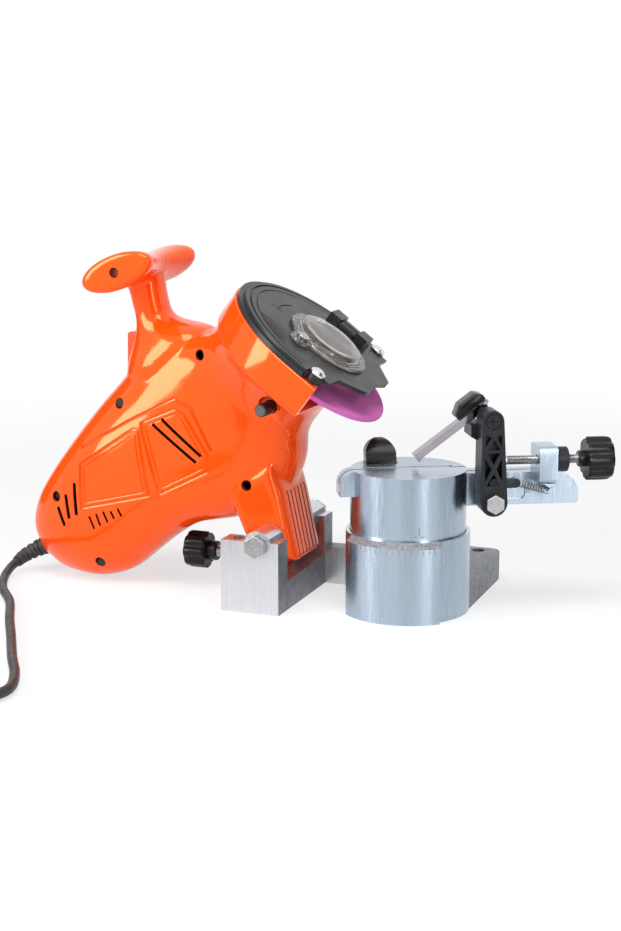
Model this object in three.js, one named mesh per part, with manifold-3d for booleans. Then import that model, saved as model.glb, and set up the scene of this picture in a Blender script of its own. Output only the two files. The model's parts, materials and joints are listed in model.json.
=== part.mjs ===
// Electric chainsaw sharpener: a cast aluminium base with a swivelling chain vise, and a tilting
// grinder head with its motor, grinding wheel, guard, handle and mains lead.
// Millimetres, +Z up. The origin is the vise's swivel axis at the underside of the base.
// X runs along the front of the base, Y runs back from it.
import * as THREE from "three";
import { mergeVertices } from "three/addons/utils/BufferGeometryUtils.js";
import Module from "manifold-3d";

const wasm = await Module();
wasm.setup();

// Clearances and counts that every piece shares
const seatGap = 0.3;
const slideGap = 0.4;
const overrun = 3;
const endEase = 0.1;
const reachShare = 3;
const roundSides = 24;
const smallSides = 12;
const hexSides = 6;
const plainCurve = 8;
const smallCurve = 4;
const lugCurve = 6;
const trayCurve = 14;
const guardCurve = 20;
const knobCurve = 6;
const neckSides = 20;
const lobeSides = 22;
const innerSides = 14;
const sleeveSteps = 12;
const halfTurn = Math.PI;
const fullTurn = Math.PI * 2;

// Base: cup for the vise
const cupRadius = 40;
const cupHeight = 52.1;
const cupFloorTop = 16;
const cupFloorUnder = 10;
const cupRecessRadius = 31;
const bandStep = 4;
const bandRadius = cupRadius + bandStep;
const bandHeight = 48.5;
const bandHalfAngle = Math.PI / 4;

// Base: clevis bracket for the head
const pivotX = -84;
const pivotZ = 45;
const bracketLeft = -109.2;
const bracketRight = -69.7;
const bracketHalf = 50.4;
const earThickness = 16;
const earHeight = 47;
const bracketFloor = 19.4;
const lobeRadius = 9.2;
const backWall = 8;
const backWallTop = 36;
const earHoleRadius = 4.5;
const earHoleX = -99.5;
const earHoleDepth = 14;
const castingWall = 6;

// Base: rear flange
const flangeFront = 36;
const flangeRear = 95;
const flangeCorner = 9;
const flangeRibTop = 25;
const flangeRib = 7;
const flangeHoleRadius = 4.5;
const flangeHoleX = 24.4;
const flangeHoleY = 86;
const sideHoleX = -92;

// Bolts
const pivotBoltRadius = 4;
const pivotHeadAcross = 13;
const pivotHeadHeight = 5.5;
const pivotNutHeight = 6.5;
const washerRadius = 8.2;
const washerThickness = 1.6;
const viseBoltRadius = 4;
const viseNutAcross = 16;
const viseNutHeight = 7;

// Depth screw
const depthScrewRadius = 4;
const depthScrewZ = 25.5;
const depthScrewTip = -99.9;
const depthKnobRadius = 12.6;
const depthKnobLength = 15;
const depthKnobFace = -139.5;
const depthHubRadius = 6.6;
const depthHubLength = 6.5;
const depthNutAcross = 13;
const depthNutLength = 6;

// Vise turntable, in the vise's own frame: x along the chain slot
const viseTurn = (28 * Math.PI) / 180;
const turntableRadius = 37.2;
const turntableTop = 91.7;
const turntableWall = 7;
const turntableHollowTop = 60;
const railHalf = 9;
const armTop = 89;
const armBottom = 68;
const armEnd = 109.5;
const armNoseRadius = 16;
const noseEnd = -45.3;
const noseRadius = 10;
const noseBottom = 75.7;
const slotWidth = 1.8;
const slotDepth = 8.5;
const slotFloor = turntableTop - slotDepth;
const panelLeft = 56;
const panelRight = 74;
const panelDepth = 1.2;
const panelMargin = 3.6;

// Vise jaw and cam lever
const jawHalfLength = 28;
const jawThickness = 4;
const jawHeight = 13;
const jawRodRadius = 3;
const camLeft = -24;
const camWidth = 20;
const camPivotY = 23;
const camPivotZ = 84;
const camRadius = 6.4;
const camPinRadius = 2;
const camPocketFloor = 76;
const camGripTop = 106;
const camGripThickness = 6;
const camTravel = 0.8;
const camRiseShare = 0.866;

// Stop adjuster on the vise arm
const adjustY = -18;
const adjustZ = 98.7;
const adjustScrewRadius = 3;
const lugLeft = 78.5;
const lugWidth = 11.7;
const lugFront = -27;
const lugBack = -4.5;
const lugTop = 108;
const lugBottom = 84;
const lugCorner = 3;
const lockRingRadius = 8;
const lockRingLength = 7.8;
const adjustKnobRadius = 14;
const adjustKnobLength = 16.5;
const adjustKnobFace = 110;
const adjustHubRadius = 5.2;
const adjustHubLength = 4.6;
const adjustTravel = 3;

// Stop arm, pawl and spring
const stopPivotX = 49.7;
const stopPivotZ = 73;
const stopFront = -27;
const stopBossRadius = 8.6;
const stopTopX = 48.2;
const stopTopZ = 125;
const stopTopRadius = 6.9;
const stopEdge = 1.8;
const stopWeb = 4;
const stopBoltRadius = 4;
const stopHeadAcross = 11;
const stopHeadHeight = 4.6;
const pawlPinRadius = 2;
const pawlHubRadius = 5;
const pawlFront = -5;
const pawlWidth = 11;
const pawlTipX = 3;
const pawlTipZ = 100;
const pawlStripWidth = 9;
const pawlStripThickness = 1.2;
const pawlFlange = 4;
const pawlOverhang = 7;
const springRadius = 2.2;
const springWire = 0.7;
const springTurns = 9;
const springStepsPerTurn = 8;
const loopSteps = 9;
const loopSweep = halfTurn * 1.45;
const hookLoopStart = halfTurn * 1.7;
const postLoopStart = halfTurn * 0.75;
const springPostRadius = 1.8;
const springPostX = 88;
const springPostZ = 78.5;
const springY = -21.5;
const springHookX = 63.6;
const springHookZ = 85.5;

// Grinder head: place of the wheel's centre, and tilt of its axis at rest
const wheelX = -64;
const wheelZ = 154.5;
const headTilt = (37.4 * Math.PI) / 180;

// Grinder head: wheel and spindle, z along the spindle
const wheelRadius = 54;
const wheelThickness = 3.2;
const wheelBore = 11.1;
const innerFlangeRadius = 19;
const outerFlangeRadius = 17;
const wheelFlangeThickness = 3.4;
const wheelNutAcross = 17;
const wheelNutHeight = 6;
const spindleRadius = 6;
const spindleThread = 5;
const lockPinDepth = 29;
const frontBearingRadius = 14;
const frontBearingWidth = 8;
const frontBearingTop = -17;
const rearBearingRadius = 11;
const rearBearingWidth = 7;
const rearBearingTop = -107;
const rearBearingBore = 4;
const bearingRim = 2.6;
const fanRadius = 17;
const fanTop = -35;
const fanHeight = 8;
const fanPlate = 1.6;
const fanBlades = 9;
const coreRadius = 14.5;
const coreTop = -50;
const coreLength = 34;
const coreSlots = 10;
const coreSlotWidth = 2.4;
const coreSlotDepth = 4;
const windingRadius = 11.5;
const windingLength = 4;
const commutatorRadius = 9;
const commutatorTop = -92;
const commutatorLength = 11;
const statorOuter = 22.4;
const statorWall = 6.6;
const statorTop = -48;
const statorLength = 38;
const brushSize = 5.2;
const brushHolderSize = 8;
const brushHolderLength = 11.5;
const brushLength = 11;
const shellRib = 3.6;

// Grinder head: guard tray and cover
const wheelRoom = 12.5;
const trayRadius = wheelRadius + wheelRoom;
const trayCentre = -2;
const trayLegEnd = 23;
const trayBack = -12;
const trayFront = 11;
const trayWall = 3.2;
const trayBevel = 3.5;
const guardInset = 1.1;
const guardRadius = trayRadius - guardInset;
const guardFace = 16.4;
const guardWall = 2.4;
const guardStep = 3.2;
const guardLip = 9.5;
const guardShoulder = 39;
const guardNotch = 15.5;
const guardNotchDepth = 39;
const guardBoltX = 20;
const guardBoltInset = 9;
const guardBoltY = trayRadius - guardBoltInset;
const guardBoltRadius = 3;
const guardBossRadius = 5;
const windowX = -1.5;
const windowRadius = 28.6;
const windowDome = 22;
const windowHeight = 6.5;
const windowWall = 2.2;
const windowShoulder = 3.08;
const windowLobeRadius = 7.5;
const windowLobeX = -10;
const windowLobeY = -31;
const windowOpening = 23;
const hingeLeft = -19;
const hingeLength = 31;
const hingeY = 35;
const hingeRadius = 4.2;
const hingePinRadius = 1.5;
const windowScrewRadius = 2.5;
const windowScrewHead = 4.2;

// Grinder head: moulded housing
const shellWall = 2.6;
const shellSplit = 0.15;
const housingHalf = 31;
const footHalf = 27;
const footBevel = 5;
const footBevelDepth = 10;
const footGroove = 1.2;
const pivotBushWall = 2;
const screwHoleRadius = 3.4;
const screwHeadRadius = 2.9;
const screwHoleDepth = 9;
const screwLength = 10;
const ventDepth = 6;
const ventWidth = 1.8;
const slotVentWidth = 2.4;

// Grinder head: handle
const handleX = -133.8;
const handleZ = -28.5;
const handleHalf = 37.5;
const handleLong = 26.5;
const handleShort = 11.6;
const handleWaistShare = 0.86;
const handleLean = (57.6 * Math.PI) / 180;
const handleEndRound = 2.2;

// Grinder head: trigger, switch, lock button and cord sleeve
const triggerX = -106.4;
const triggerZ = -77;
const triggerTurn = (36 * Math.PI) / 180;
const triggerLength = 27;
const triggerWidth = 13;
const triggerThickness = 5;
const triggerStem = 6;
const triggerStemLength = 12;
const triggerTravel = 3;
const switchLength = 22;
const switchWidth = 14;
const switchDepth = 15;
const lockButtonRadius = 4.2;
const lockTipRadius = 2.6;
const lockButtonOut = -50;
const lockButtonIn = -26;
const lockTip = -7;
const lockTravel = 4;
const sleeveLength = 21;
const sleeveRootRadius = 6.8;
const sleeveEndRadius = 3.9;
const sleeveInside = 7;
const sleeveRibs = 4;

// Mains lead
const cordRadius = 3;
const cordSides = 8;
const coilSides = 6;
const coilStepsPerTurn = 24;
const turnBackShare = 0.25;
const apartShare = 1 / 3;
const coilTurns = 7;
const coilPitch = 6.7;
const coilOuter = 47;
const coilX = -212;
const coilY = -290;
const tieThickness = 1;
const tieHeadHeight = tieThickness * 2;
const tieWidth = 7;
const plugRadius = 12;
const plugLength = 34;
const plugPinRadius = 2.4;
const plugPinLength = 19;
const plugPinSpacing = 19;

const flangeHalf = 39;
const cupWall = 2.4;
const cupBore = cupRadius - cupWall;
const earHoleInset = 9.4;
const flangeBossRadius = 9;
const screwChamfer = 0.8;
const depthKnobGrip = 9;
const knobLobes = 8;
const knobLobeShare = 0.14;
const knobBevelSize = 1.4;
const knobBevel = {
  bevelEnabled: true, bevelThickness: knobBevelSize, bevelSize: knobBevelSize, bevelOffset: -knobBevelSize,
  bevelSegments: 1,
};
const armNoseCorner = 3;
const springPostTail = 2.4;
const springPostNeck = 1.3;
const springPostLip = 1.2;
const turntableBossRadius = 10;
const jawBottom = 78.4;
const jawRodX = -14;
const camPocketFront = 15;
const camPinLeft = -28.3;
const camPinRight = 1.5;
const panelBottom = 71.6;
const panelTop = 84;
const viseBoltTop = 44;
const stopThread = 14;
const viseWasherRadius = 12;
const camGripReach = 11;
const adjustTip = 57.2;
const adjustKnobGrip = 10;
const stopHeadBack = 8;
const stopHornOutline = [[37.5, 113], [41, 111], [54, 111], [54.4, 121.4], [39.3, 121.4], [37.5, 120.2]];
const springLugThickness = 3.4;
const hookPostRadius = 1.4;
const stopPockets = [
  [[44.5, 84], [53, 84], [49.2, 92]], [[43.6, 86.5], [47.6, 94.5], [43.2, 102]],
  [[54.6, 86.5], [54, 102], [50.6, 94.5]], [[49, 97.5], [53, 105], [44.6, 105]],
];
const pawlPivotX = 46.5;
const pawlPivotZ = 127.5;
const pawlPinFront = -20;
const pawlTopX = 50;
const pawlTopZ = 135;
const pawlTipDepth = 5;
const pawlGripStart = 36;
const pawlGripEnd = 58;
const pawlGripHeight = 6.5;
const pawlGripShare = 1 / 3;
const pawlGripBack = 11.5;
const pawlGripRound = 0.9;
const springSlack = 1.2;
const hookLoop = 2.35;
const postLoop = 2.6;
const springLead = 1.6;
const wheelHalf = wheelThickness / 2;
const wheelSides = 48;
const innerFlangeTop = -wheelHalf - seatGap;
const outerFlangeBottom = wheelHalf + seatGap;
const spindleEnd = -116;
const spindleShoulder = -106.4;
const lockHoleRadius = 3.1;
const fanHubRadius = 9;
const fanPhase = 0.35;
const brushClearance = 1.6;
const brushPocket = 25.5;
const lobeStations = [
  [-12, -62, 22, 52], [-18, -65, 21, 46], [-26, -68, 20, 40], [-40, -80, 22, 33], [-55, -92, 32, 31],
  [-75, -97, 37, 31], [-95, -98, 34, 31], [-115, -100, 20, 31], [-135, -101, 3, 31], [-155, -101.6, -5, 30],
  [-175, -101.5, -10, 29], [-195, -100, -15, 27], [-212, -95, -27, 22], [-223, -87, -42, 15],
  [-230, -75, -54, 7],
];
const neckStations = [
  [[-140, -36], [-124, -16], 13], [[-122, -49], [-107, -33], 13], [[-110, -60.6], [-95, -37.7], 15],
  [[-97, -88], [-68, -27], 25], [[-82, -98], [-50, -44], 25],
];
const handleSides = 20;
const handleRows = [
  [-1, 0.88], [-0.945, 0.98], [-0.85, 1], [-0.5, 0.86], [0, 0.78], [0.5, 0.86], [0.85, 1], [0.945, 0.98],
  [1, 0.88],
];
const exitX = -263;
const exitZ = 19;
const exitRun = 0.883;
const exitFall = 0.4695;
const footOutline = [[-67.5, 29], [-76.5, 71], [-84, 95], [-118, 75], [-104, 43], [-97, 38], [-92, 29]];
const heelOutline = [[-92, 34], [-92, 19.7], [-84, 19.7], [-84, 34]];
const footHollowOutline = [[-72, 33], [-80.5, 70], [-86, 88], [-112, 74], [-101, 46], [-94, 41], [-89, 33]];
const footHollowHalf = 22;
const pivotBushRadius = 8.5;
const bearingFloor = 2;
const ribLeft = -30;
const ribRight = 45;
const switchStart = 17;
const switchPost = 7.3;
const triggerOpening = 12;
const triggerPaddle = 8.5;
const lockScoopRadius = 12.5;
const lockGuideEnd = -15;
const lockGuideStop = -17.5;
const lockStepStart = -18;
const lockStep = 4;
const lockStepEnd = lockStepStart - lockStep;
const housingScrews = [[-57.7, -35], [-85.3, -101.3], [-32.3, -199], [-83.3, -183.2]];
const dimpleDepth = 1.6;
const dimpleAt = [17.1, -83.3];
const screwFloor = 20;
const screwShank = 1.6;
const screwRecess = 3;
const footGrooves = [-15, -9, -3, 3, 9, 15];
const grooveLeft = -69;
const grooveRight = -60;
const grooveBottom = 31;
const grooveTop = 46;
const ventLines = [
  [[-77, -166], [-64, -181]], [[-77.5, -177], [-67, -187]], [[-77, -188], [-67, -194]],
  [[-55, -176], [-48, -180]], [[-52, -171], [-46, -175]], [[-49, -166], [-43, -169.5]],
  [[-45, -162], [-41, -164]], [[-42, -157], [-38, -159]],
];
const slotVentLines = [[[-56, -93.5], [-18.7, -93.2]], [[-53, -86.5], [-18.5, -87.5]]];
const handleReach = 400;
const guardFaceInset = 2.5;
const guardFaceRadius = trayRadius - guardFaceInset;
const guardEase = 1;
const guardEaseRun = 3.0;
const guardCorner = 26;
const guardTipX = 42.5;
const guardBoltHead = 5.2;
const windowEarStart = 24;
const knuckleLeft = -9;
const knuckleRight = 3;
const hingeAxisZ = guardFace + seatGap + hingeRadius + seatGap;
const hingeBlockDepth = 10;
const sleeveTable = [[-271.5, -2.2, 14.8], [-277, -8.5, 11.4], [-278.2, -17.5, 8.8]];
const leadTable = [
  [-275, -40, 4.2], [-262, -64, 3.3], [-242, -89, 3.3], [-220, -126, 3.3], [-203, -153, 3.3],
  [-179, -192, 3.3],
  [-162, -218, 3.3], [-152, -241, 3.5], [-153.5, -257, 4.1],
];
const leadSteps = 48;
const coilStart = 0;
const coilLayerGap = 0.7;
const tieAngle = 2.6;
const tieSlack = 3.6;
const plugNeck = 5;
const plugNeckLength = 12;
const plugHalf = 6;
const tailLength = 62;
const tailLevel = 14;
const tailSteps = 14;

// Materials
const finish = (color, roughness, metalness, extra = {}) =>
  new THREE.MeshStandardMaterial({ color, roughness, metalness, ...extra });
const orangeShell = finish(0xff5c1e, 0.35, 0);
const blackPlastic = finish(0x222527, 0.45, 0);
const castAluminium = finish(0xc3c9d2, 0.35, 0.9);
const zincSteel = finish(0xb9bcbf, 0.3, 1);
const brightSteel = finish(0xd5d8dc, 0.18, 1);
const pinkAbrasive = finish(0xb4569a, 0.95, 0);
const smokedClear = finish(0x8a8784, 0.1, 0, { transparent: true, opacity: 0.4 });
const blackRubber = finish(0x151617, 0.7, 0);
const copperWire = finish(0xb5673a, 0.4, 0.8);
const coreSteel = finish(0x74777a, 0.5, 0.8);
const carbonBlock = finish(0x2b2b2e, 0.8, 0.1);
const brassPart = finish(0xc29a4a, 0.35, 0.9);

// A closed three.js geometry as a solid that can be joined and cut
function solid(shape) {
  if (!(shape instanceof THREE.BufferGeometry)) return shape;
  const bare = new THREE.BufferGeometry();
  bare.setAttribute("position", shape.getAttribute("position"));
  if (shape.index) bare.setIndex(shape.index);
  const merged = mergeVertices(bare, 1e-4);
  const triVerts = new Uint32Array(merged.index.array);
  const build = () =>
    new wasm.Manifold(
      new wasm.Mesh({ numProp: 3, vertProperties: merged.attributes.position.array, triVerts }),
    );
  const made = build();
  if (made.volume() >= 0) return made;
  for (let i = 0; i < triVerts.length; i += 3) {
    [triVerts[i], triVerts[i + 1]] = [triVerts[i + 1], triVerts[i]];
  }
  return build();
}

const join = (first, ...others) => others.reduce((sum, item) => sum.add(solid(item)), solid(first));
const cut = (first, ...others) => others.reduce((rest, item) => rest.subtract(solid(item)), solid(first));
const common = (first, second) => solid(first).intersect(solid(second));

function geometryOf(body) {
  const mesh = body.getMesh();
  const count = mesh.numProp;
  const points = new Float32Array(mesh.numVert * 3);
  for (let i = 0; i < mesh.numVert; i++) {
    points.set(mesh.vertProperties.subarray(i * count, i * count + 3), i * 3);
  }
  const geometry = new THREE.BufferGeometry();
  geometry.setAttribute("position", new THREE.BufferAttribute(points, 3));
  geometry.setIndex(new THREE.BufferAttribute(new Uint32Array(mesh.triVerts), 1));
  return geometry;
}

// Names a finished piece and hangs it in its group
function piece(group, name, shape, material) {
  const geometry = geometryOf(solid(shape)).toNonIndexed();
  geometry.computeVertexNormals();
  const mesh = new THREE.Mesh(geometry, material);
  mesh.name = name;
  group.add(mesh);
  return mesh;
}

// Basic forms. Turned forms stand on Z; a profile is a list of [radius, height].
function turned(profile, sides = roundSides) {
  const points = profile.map(([radius, height]) => new THREE.Vector2(radius, height));
  return new THREE.LatheGeometry(points, sides).rotateX(Math.PI / 2);
}

const rod = (radius, low, high, sides = roundSides) =>
  turned([[0, low], [radius, low], [radius, high], [0, high]], sides);

const tube = (outer, inner, low, high, sides = roundSides) =>
  turned([[inner, low], [outer, low], [outer, high], [inner, high], [inner, low]], sides);

const hexRod = (across, low, high) => rod(across / Math.sqrt(3), low, high, hexSides);

// A turned form laid along X or Y, with its own height running that way
const alongX = (geometry) => geometry.rotateY(Math.PI / 2);
const alongY = (geometry) => geometry.rotateX(-Math.PI / 2);

function block(low, high) {
  const size = high.map((value, i) => value - low[i]);
  const middle = high.map((value, i) => (value + low[i]) / 2);
  return new THREE.BoxGeometry(...size).translate(...middle);
}

function outlineOf(points) {
  return new THREE.Shape(points.map(([x, y]) => new THREE.Vector2(x, y)));
}

// A flat outline in X and Y, given thickness along Z
function plate(shape, low, high, curveSegments = plainCurve, bevel = {}) {
  const outline = Array.isArray(shape) ? outlineOf(shape) : shape;
  const settings = { depth: high - low, curveSegments, bevelEnabled: false, ...bevel };
  return new THREE.ExtrudeGeometry(outline, settings).translate(0, 0, low);
}

// A flat outline in X and Z, given thickness along Y
function sidePlate(shape, near, far, curveSegments = plainCurve, bevel = {}) {
  return plate(shape, -far, -near, curveSegments, bevel).rotateX(Math.PI / 2);
}

// Rounded rectangle between two corners
function roundedBox(left, bottom, right, top, corner) {
  const shape = new THREE.Shape();
  shape.moveTo(left + corner, bottom);
  shape.lineTo(right - corner, bottom);
  shape.absarc(right - corner, bottom + corner, corner, -Math.PI / 2, 0);
  shape.lineTo(right, top - corner);
  shape.absarc(right - corner, top - corner, corner, 0, Math.PI / 2);
  shape.lineTo(left + corner, top);
  shape.absarc(left + corner, top - corner, corner, Math.PI / 2, Math.PI);
  shape.lineTo(left, bottom + corner);
  shape.absarc(left + corner, bottom + corner, corner, Math.PI, halfTurn + halfTurn / 2);
  return shape;
}

// A skin through closed rings of points, capped at both ends
function loft(rings) {
  const count = rings[0].length;
  const points = rings.flat();
  const faces = [];
  for (let k = 0; k + 1 < rings.length; k++) {
    for (let i = 0; i < count; i++) {
      const a = k * count + i;
      const b = k * count + ((i + 1) % count);
      faces.push(a, b, b + count, a, b + count, a + count);
    }
  }
  const last = (rings.length - 1) * count;
  const centreOf = (ring) =>
    ring.reduce((sum, point) => sum.add(point), new THREE.Vector3()).divideScalar(count);
  points.push(centreOf(rings[0]), centreOf(rings[rings.length - 1]));
  for (let i = 0; i < count; i++) {
    const next = (i + 1) % count;
    faces.push(points.length - 2, next, i);
    faces.push(points.length - 1, last + i, last + next);
  }
  const geometry = new THREE.BufferGeometry().setFromPoints(points);
  geometry.setIndex(faces);
  return geometry;
}

// A superellipse whose width runs from a left to a right point in X and Z, with a half depth in Y
function section(left, right, halfDepth, inset = 0, sides = 24, power = 2.6) {
  const centre = new THREE.Vector3((left[0] + right[0]) / 2, 0, (left[1] + right[1]) / 2);
  const across = new THREE.Vector3(right[0] - left[0], 0, right[1] - left[1]);
  const halfWidth = across.length() / 2 - inset;
  across.normalize();
  const ring = [];
  for (let i = 0; i < sides; i++) {
    const angle = ((i + 0.5) / sides) * Math.PI * 2;
    const c = Math.cos(angle);
    const s = Math.sin(angle);
    const u = Math.sign(c) * Math.abs(c) ** (2 / power) * halfWidth;
    const v = Math.sign(s) * Math.abs(s) ** (2 / power) * (halfDepth - inset);
    ring.push(centre.clone().addScaledVector(across, u).setY(v));
  }
  return ring;
}

// Lobed grip outline for the star knobs
function lobedOutline(radius, lobes, depthShare, steps = knobCurve) {
  const points = [];
  const count = lobes * steps;
  for (let i = 0; i < count; i++) {
    const angle = (i / count) * Math.PI * 2;
    const wave = (1 + Math.cos(angle * lobes)) / 2;
    const reach = radius * (1 - depthShare * (1 - wave) ** 2);
    points.push([reach * Math.cos(angle), reach * Math.sin(angle)]);
  }
  return points;
}

// Sharpener, with a frame of its own for the vise and one for the grinder head
const sharpener = new THREE.Group();
const vise = new THREE.Group();
vise.rotation.z = viseTurn;
const head = new THREE.Group();
head.position.set(wheelX, 0, wheelZ);
head.rotation.y = headTilt;
sharpener.add(vise, head);

// Base casting: cup with its scale band, clevis bracket for the head, rear web and bolting flange
function makeBaseCasting() {
  const reach = bandRadius + overrun;
  const wedge = plate([[0, 0], [-reach, -reach], [0, -reach * Math.SQRT2], [reach, -reach]], 0, cupHeight);
  const bandForm = turned(
    [[0, 0], [bandRadius, 0], [bandRadius, bandHeight], [cupRadius, cupHeight], [0, cupHeight]],
    roundSides * 2,
  );
  const ears = [-1, 1].map((side) => {
    const inner = side * (bracketHalf - earThickness);
    const outer = side * bracketHalf;
    const near = Math.min(inner, outer);
    const far = Math.max(inner, outer);
    const lobe = alongY(rod(lobeRadius, near, far)).translate(pivotX, 0, pivotZ);
    const spacerEnds = [side * (footHalf + slideGap), inner];
    const spacer = alongY(rod(lobeRadius, Math.min(...spacerEnds), Math.max(...spacerEnds)))
      .translate(pivotX, 0, pivotZ);
    return join(block([bracketLeft, near, 0], [bracketRight, far, earHeight]), lobe, spacer);
  });
  const floor = block([bracketLeft, -bracketHalf, 0], [bracketRight, bracketHalf, bracketFloor]);
  const wall = block(
    [bracketLeft, -bracketHalf + earThickness, 0],
    [bracketLeft + backWall, bracketHalf - earThickness, backWallTop],
  );
  const web = block([bracketLeft, flangeFront, 0], [0, bracketHalf, flangeRibTop]);
  const flange = plate(
    roundedBox(-flangeHalf, 0, flangeHalf, flangeRear, flangeCorner),
    0, bracketFloor, lugCurve,
  );
  const rib = block([-flangeRib / 2, 0, 0], [flangeRib / 2, flangeRear - flangeCorner, flangeRibTop]);
  const cup = rod(cupRadius, 0, cupHeight, roundSides * 2);
  let casting = join(cup, common(bandForm, wedge), ...ears, floor, wall, web, flange, rib);

  const bore = rod(cupBore, cupFloorTop, cupHeight + overrun, roundSides * 2);
  const underside = rod(cupRecessRadius, -overrun, cupFloorUnder);
  const boltHole = rod(viseBoltRadius + slideGap, 0, cupHeight, smallSides);
  const pivotHole = alongY(rod(pivotBoltRadius + slideGap, -bracketHalf - overrun, bracketHalf + overrun,
    smallSides))
    .translate(pivotX, 0, pivotZ);
  const screwHole = alongX(rod(depthScrewRadius + slideGap, 0, backWall + overrun + overrun, smallSides))
    .translate(bracketLeft - overrun, 0, depthScrewZ);
  const earHole = rod(earHoleRadius, -overrun, earHeight + overrun, smallSides)
    .translate(earHoleX, -(bracketHalf - earHoleInset), 0);
  const flangeHoles = [-1, 1].map((side) =>
    rod(flangeHoleRadius, -overrun, bracketFloor + overrun, smallSides)
      .translate(side * flangeHoleX, flangeHoleY, 0));
  const bracketHollow = block(
    [bracketLeft + castingWall, -(bracketHalf - earThickness), -overrun],
    [bracketRight - castingWall, bracketHalf - earThickness, bracketFloor - castingWall],
  );
  const flangeHollow = block(
    [-(flangeHalf - castingWall), cupRadius + castingWall, -overrun],
    [flangeHalf - castingWall, flangeRear - castingWall, bracketFloor - castingWall],
  );
  const holeBosses = [-1, 1].map((side) =>
    rod(flangeBossRadius, -overrun, bracketFloor, smallSides).translate(side * flangeHoleX, flangeHoleY,
      0));
  casting = cut(casting, bore, underside, boltHole, pivotHole, screwHole, earHole, ...flangeHoles);
  return cut(casting, bracketHollow, cut(flangeHollow, ...holeBosses));
}
piece(sharpener, "base_casting", makeBaseCasting(), castAluminium);

// Head pivot: hexagon bolt through both ears, with a washer and a nut behind
const washerFace = bracketHalf + seatGap;
const nutFace = washerFace + washerThickness + seatGap;
const onPivot = (geometry) => alongY(geometry).translate(pivotX, 0, pivotZ);
piece(sharpener, "pivot_bolt", join(
  onPivot(rod(pivotBoltRadius, -washerFace, nutFace + pivotNutHeight + overrun, smallSides)),
  onPivot(hexRod(pivotHeadAcross, -washerFace - pivotHeadHeight, -washerFace)),
), zincSteel);
piece(sharpener, "pivot_washer",
  onPivot(tube(washerRadius, pivotBoltRadius + seatGap, washerFace, washerFace + washerThickness)),
    zincSteel);
piece(sharpener, "pivot_nut", cut(
  onPivot(hexRod(pivotHeadAcross, nutFace, nutFace + pivotNutHeight)),
  onPivot(rod(pivotBoltRadius + seatGap, 0, nutFace + pivotNutHeight + overrun, smallSides)),
), zincSteel);

// Depth screw: limits how far the head tilts down onto the chain
const onDepth = (geometry) => alongX(geometry).translate(0, 0, depthScrewZ);
const depthNutFace = bracketLeft - seatGap;
piece(sharpener, "depth_lock_nut", cut(
  onDepth(hexRod(depthNutAcross, depthNutFace - depthNutLength, depthNutFace)),
  onDepth(rod(depthScrewRadius + slideGap, depthNutFace - depthNutLength - overrun, 0, smallSides)),
), zincSteel);
piece(sharpener, "depth_screw", onDepth(turned([
  [0, depthKnobFace - depthKnobGrip], [depthScrewRadius, depthKnobFace - depthKnobGrip],
  [depthScrewRadius, depthScrewTip - screwChamfer], [depthScrewRadius - screwChamfer, depthScrewTip],
  [0, depthScrewTip],
], smallSides)), zincSteel);
piece(sharpener, "depth_knob", cut(
  join(
    onDepth(plate(lobedOutline(depthKnobRadius, knobLobes, knobLobeShare),
      depthKnobFace - depthKnobLength, depthKnobFace, 1, knobBevel)),
    onDepth(rod(depthHubRadius, depthKnobFace - overrun, depthKnobFace + depthHubLength)),
  ),
  onDepth(rod(depthScrewRadius + seatGap, depthKnobFace - depthKnobGrip - seatGap, 0, smallSides)),
), blackPlastic);

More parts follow.
